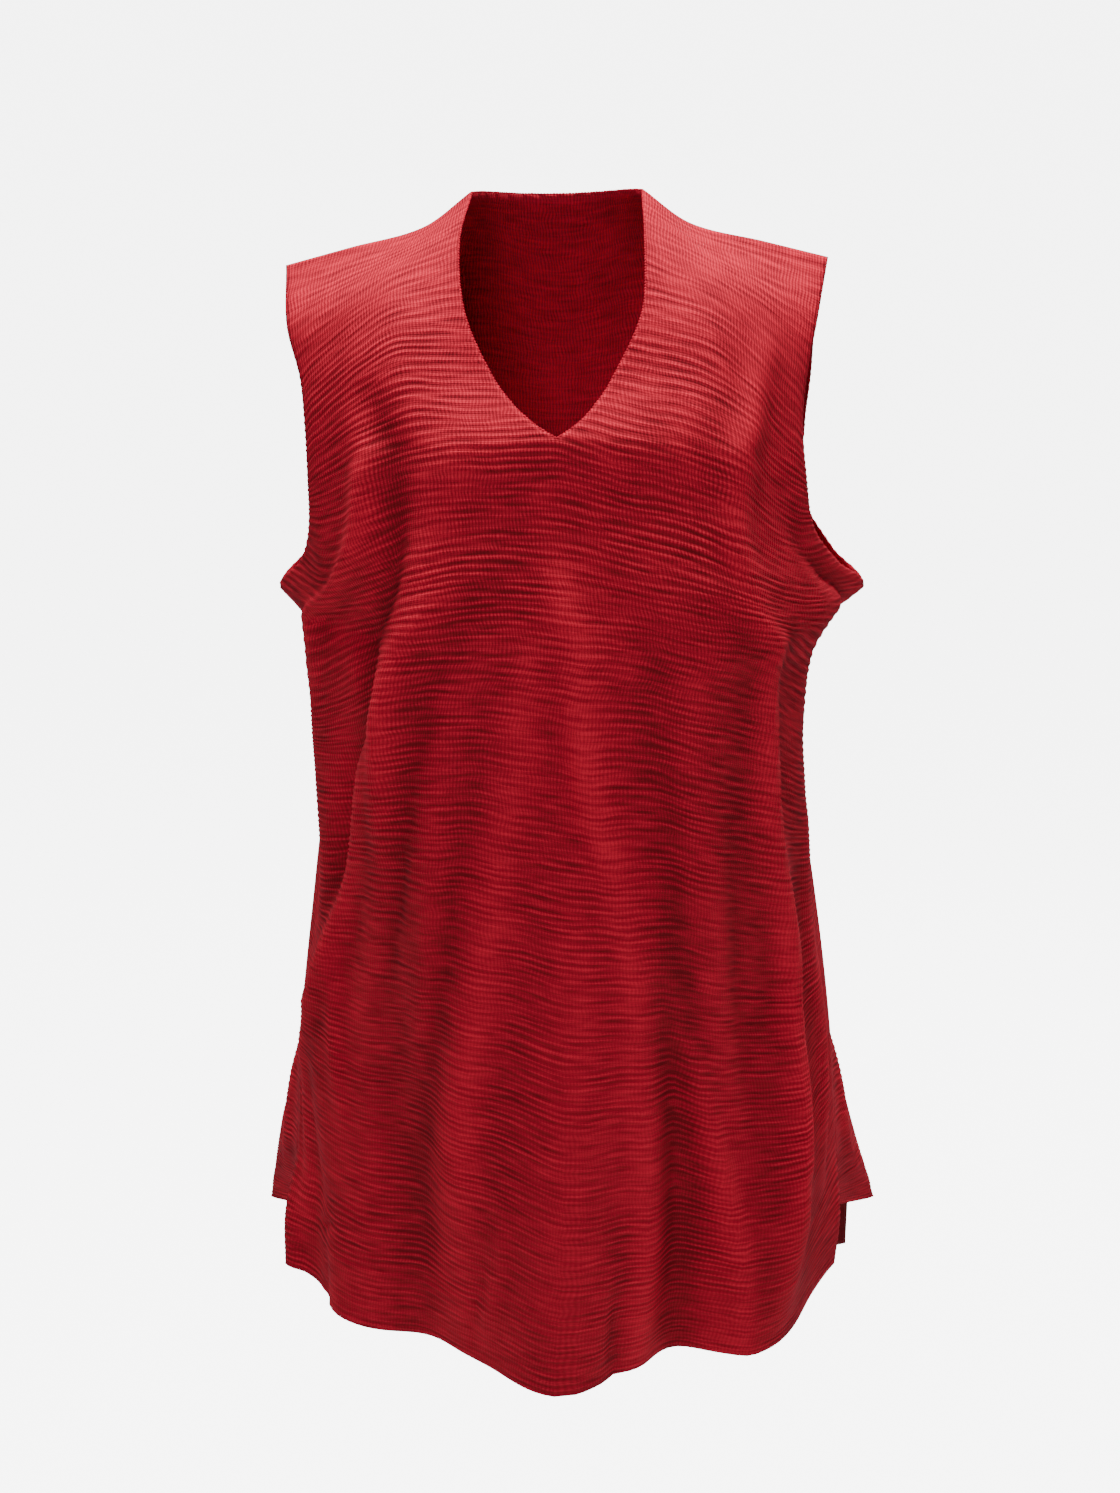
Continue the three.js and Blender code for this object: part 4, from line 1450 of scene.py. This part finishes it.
@dataclass(frozen=True)
class Softbox:
    """A rectangular area light that shines at the middle of the blouse."""

    name: str
    place: tuple[float, float, float]  # m
    size: tuple[float, float]  # its width and depth, m
    power: float  # in watts

    def build(self) -> None:
        """Adds it to the scene."""
        data = bpy.data.lights.new(self.name, "AREA")
        data.shape = "RECTANGLE"
        data.size, data.size_y = self.size
        data.energy = self.power
        lamp = bpy.data.objects.new(self.name, data)
        lamp.location = self.place
        aim = LIGHT_TARGET - Vector(self.place)
        lamp.rotation_euler = aim.to_track_quat("-Z", "Y").to_euler()
        bpy.context.scene.collection.objects.link(lamp)


SOFTBOXES = (
    Softbox("key_light", (0.0, 0.28, 2.0), (2.2, 0.5), 160),
    Softbox("front_light", (-0.28, -1.5, 0.7), (0.5, 0.5), 13.5),
    Softbox("side_light", (1.9, -1.3, 0.3), (0.8, 0.8), 5),
    Softbox("back_light", (0.8, 2.4, 0.2), (1.4, 1.4), 26),
)


@dataclass(frozen=True)
class Studio:
    """A pale floor, soft lights and the camera."""

    camera_place: tuple[float, float, float] = (0, -1.303, 0.09)
    camera_pitch: float = 72.0  # degrees from straight down
    lens: float = 48.23  # mm
    sensor: float = 36  # mm
    farthest: float = 100  # m that the camera sees
    floor_level: float = -1.45  # m
    floor_reach: float = 40.0  # m
    floor_paint: float = 0.8
    floor_roughness: float = 0.9
    ambient: float = 0.06
    white: float = 6.0  # how bright the surround looks

    def build(self) -> None:
        """Adds them to the scene."""
        data = bpy.data.cameras.new("camera")
        data.lens = self.lens
        data.sensor_width = self.sensor
        data.clip_end = self.farthest
        camera = bpy.data.objects.new("camera", data)
        camera.location = self.camera_place
        camera.rotation_euler = (math.radians(self.camera_pitch), 0, 0)
        bpy.context.scene.collection.objects.link(camera)
        bpy.context.scene.camera = camera
        self.add_floor()
        for softbox in SOFTBOXES:
            softbox.build()
        self.add_world()

    def add_world(self) -> None:
        """An even white surround, bright to look at and dim as a light."""
        world = bpy.data.worlds.new("studio")
        world.use_nodes = True
        tree = world.node_tree
        back = tree.nodes["Background"]
        back.inputs["Color"].default_value = (1, 1, 1, 1)
        seen = add_node(tree, "ShaderNodeLightPath").outputs["Is Camera Ray"]
        strength = maths(tree, "MULTIPLY_ADD", seen, self.white - self.ambient, self.ambient)
        tree.links.new(strength, back.inputs["Strength"])
        bpy.context.scene.world = world

    def add_floor(self) -> None:
        """A wide pale floor, well below the blouse, which hangs as if worn."""
        reach = self.floor_reach
        corners = [(-reach, -reach), (reach, -reach), (reach, reach), (-reach, reach)]
        mesh = bpy.data.meshes.new("floor")
        mesh.from_pydata([(x, y, self.floor_level) for x, y in corners], [], [(0, 1, 2, 3)])
        floor = bpy.data.objects.new("floor", mesh)
        bpy.context.scene.collection.objects.link(floor)
        material = bpy.data.materials.new("floor_paint")
        material.use_nodes = True
        shader = material.node_tree.nodes["Principled BSDF"]
        shader.inputs["Base Color"].default_value = (*[self.floor_paint] * 3, 1)
        shader.inputs["Roughness"].default_value = self.floor_roughness
        shader.inputs["Emission Color"].default_value = (1, 1, 1, 1)
        tree = material.node_tree
        seen = add_node(tree, "ShaderNodeLightPath").outputs["Is Camera Ray"]
        glow = maths(tree, "MULTIPLY", seen, self.white)
        tree.links.new(glow, shader.inputs["Emission Strength"])
        mesh.materials.append(material)


# ------------------------------------------------------------------ the blouse


@dataclass
class Blouse:
    """The whole garment: two panels, their turnings and the loops around the neck."""

    front: Panel = field(init=False)
    back: Panel = field(init=False)

    def __post_init__(self) -> None:
        """Lays out both panels and sews them together."""
        self.front = Panel(
            name="front",
            face=Face.FRONT,
            table=FRONT_SECTIONS,
            folds=FRONT_FOLDS,
            creases=FRONT_CREASES,
            swell=BUST,
            grain=FRONT_GRAIN,
            ripples=Ripples(seed=11),
        )
        self.back = Panel(
            name="back",
            face=Face.BACK,
            table=BACK_SECTIONS,
            folds=BACK_FOLDS,
            creases=BACK_CREASES,
            swell=NO_SWELL,
            grain=BACK_GRAIN,
            ripples=Ripples(seed=12),
        )
        sheets = self.front.sheet, self.back.sheet
        seam_rows = range(VENT_ROW, UNDERARM_ROW + 1)
        sew(*sheets, [(r, 0) for r in seam_rows], (0, EDGE_COLUMNS))
        sew(*sheets, [(r, -1) for r in seam_rows], (0, -EDGE_COLUMNS))
        shoulder = range(HALF_COLUMNS + 1)
        sew(*sheets, [(TOP_ROW, c) for c in shoulder], (-INNER_ROWS, 0))
        sew(*sheets, [(TOP_ROW, -1 - c) for c in shoulder], (-INNER_ROWS, 0))

    def build(self) -> None:
        knit = knit_group()
        outside = KnitFinish("red_knit").material(knit)
        # a darker copy of the knit for the turnings: painted shade, as they hang in shadow inside the
        # blouse
        inside = KnitFinish(
            "red_knit_inside_painted_shade", bright=(0.2, 0.006, 0.012), deep=(0.09, 0.002, 0.004)
        ).material(knit)
        edge = NeckEdge(self.front.sheet, self.back.sheet).build(outside)
        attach(edge, "root")
        log.info("%s: %d faces", edge.name, len(edge.data.polygons))
        for panel in (self.front, self.back):
            piece = panel.build()
            piece.data.materials.append(outside)
            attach(piece, "root")
            word = panel.face.name.lower()
            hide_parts(f"{word}_panel")
            turnings = Turnings(panel).build(dropped=panel.face is Face.BACK)
            nodes = (f"{word}_hem", f"{word}_vent_right", f"{word}_vent_left")
            for turning, node in zip(turnings, nodes):
                turning.data.materials.append(inside)
                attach(turning, "root")
                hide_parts(node)
                log.info("%s: %d faces", turning.name, len(turning.data.polygons))
            log.info("%s: %d faces", piece.name, len(piece.data.polygons))


def main() -> None:
    """Builds the studio and the blouse."""
    logging.basicConfig(level=logging.INFO, format="%(name)s: %(message)s")
    Studio().build()
    Blouse().build()


if __name__ == "__main__":
    main()
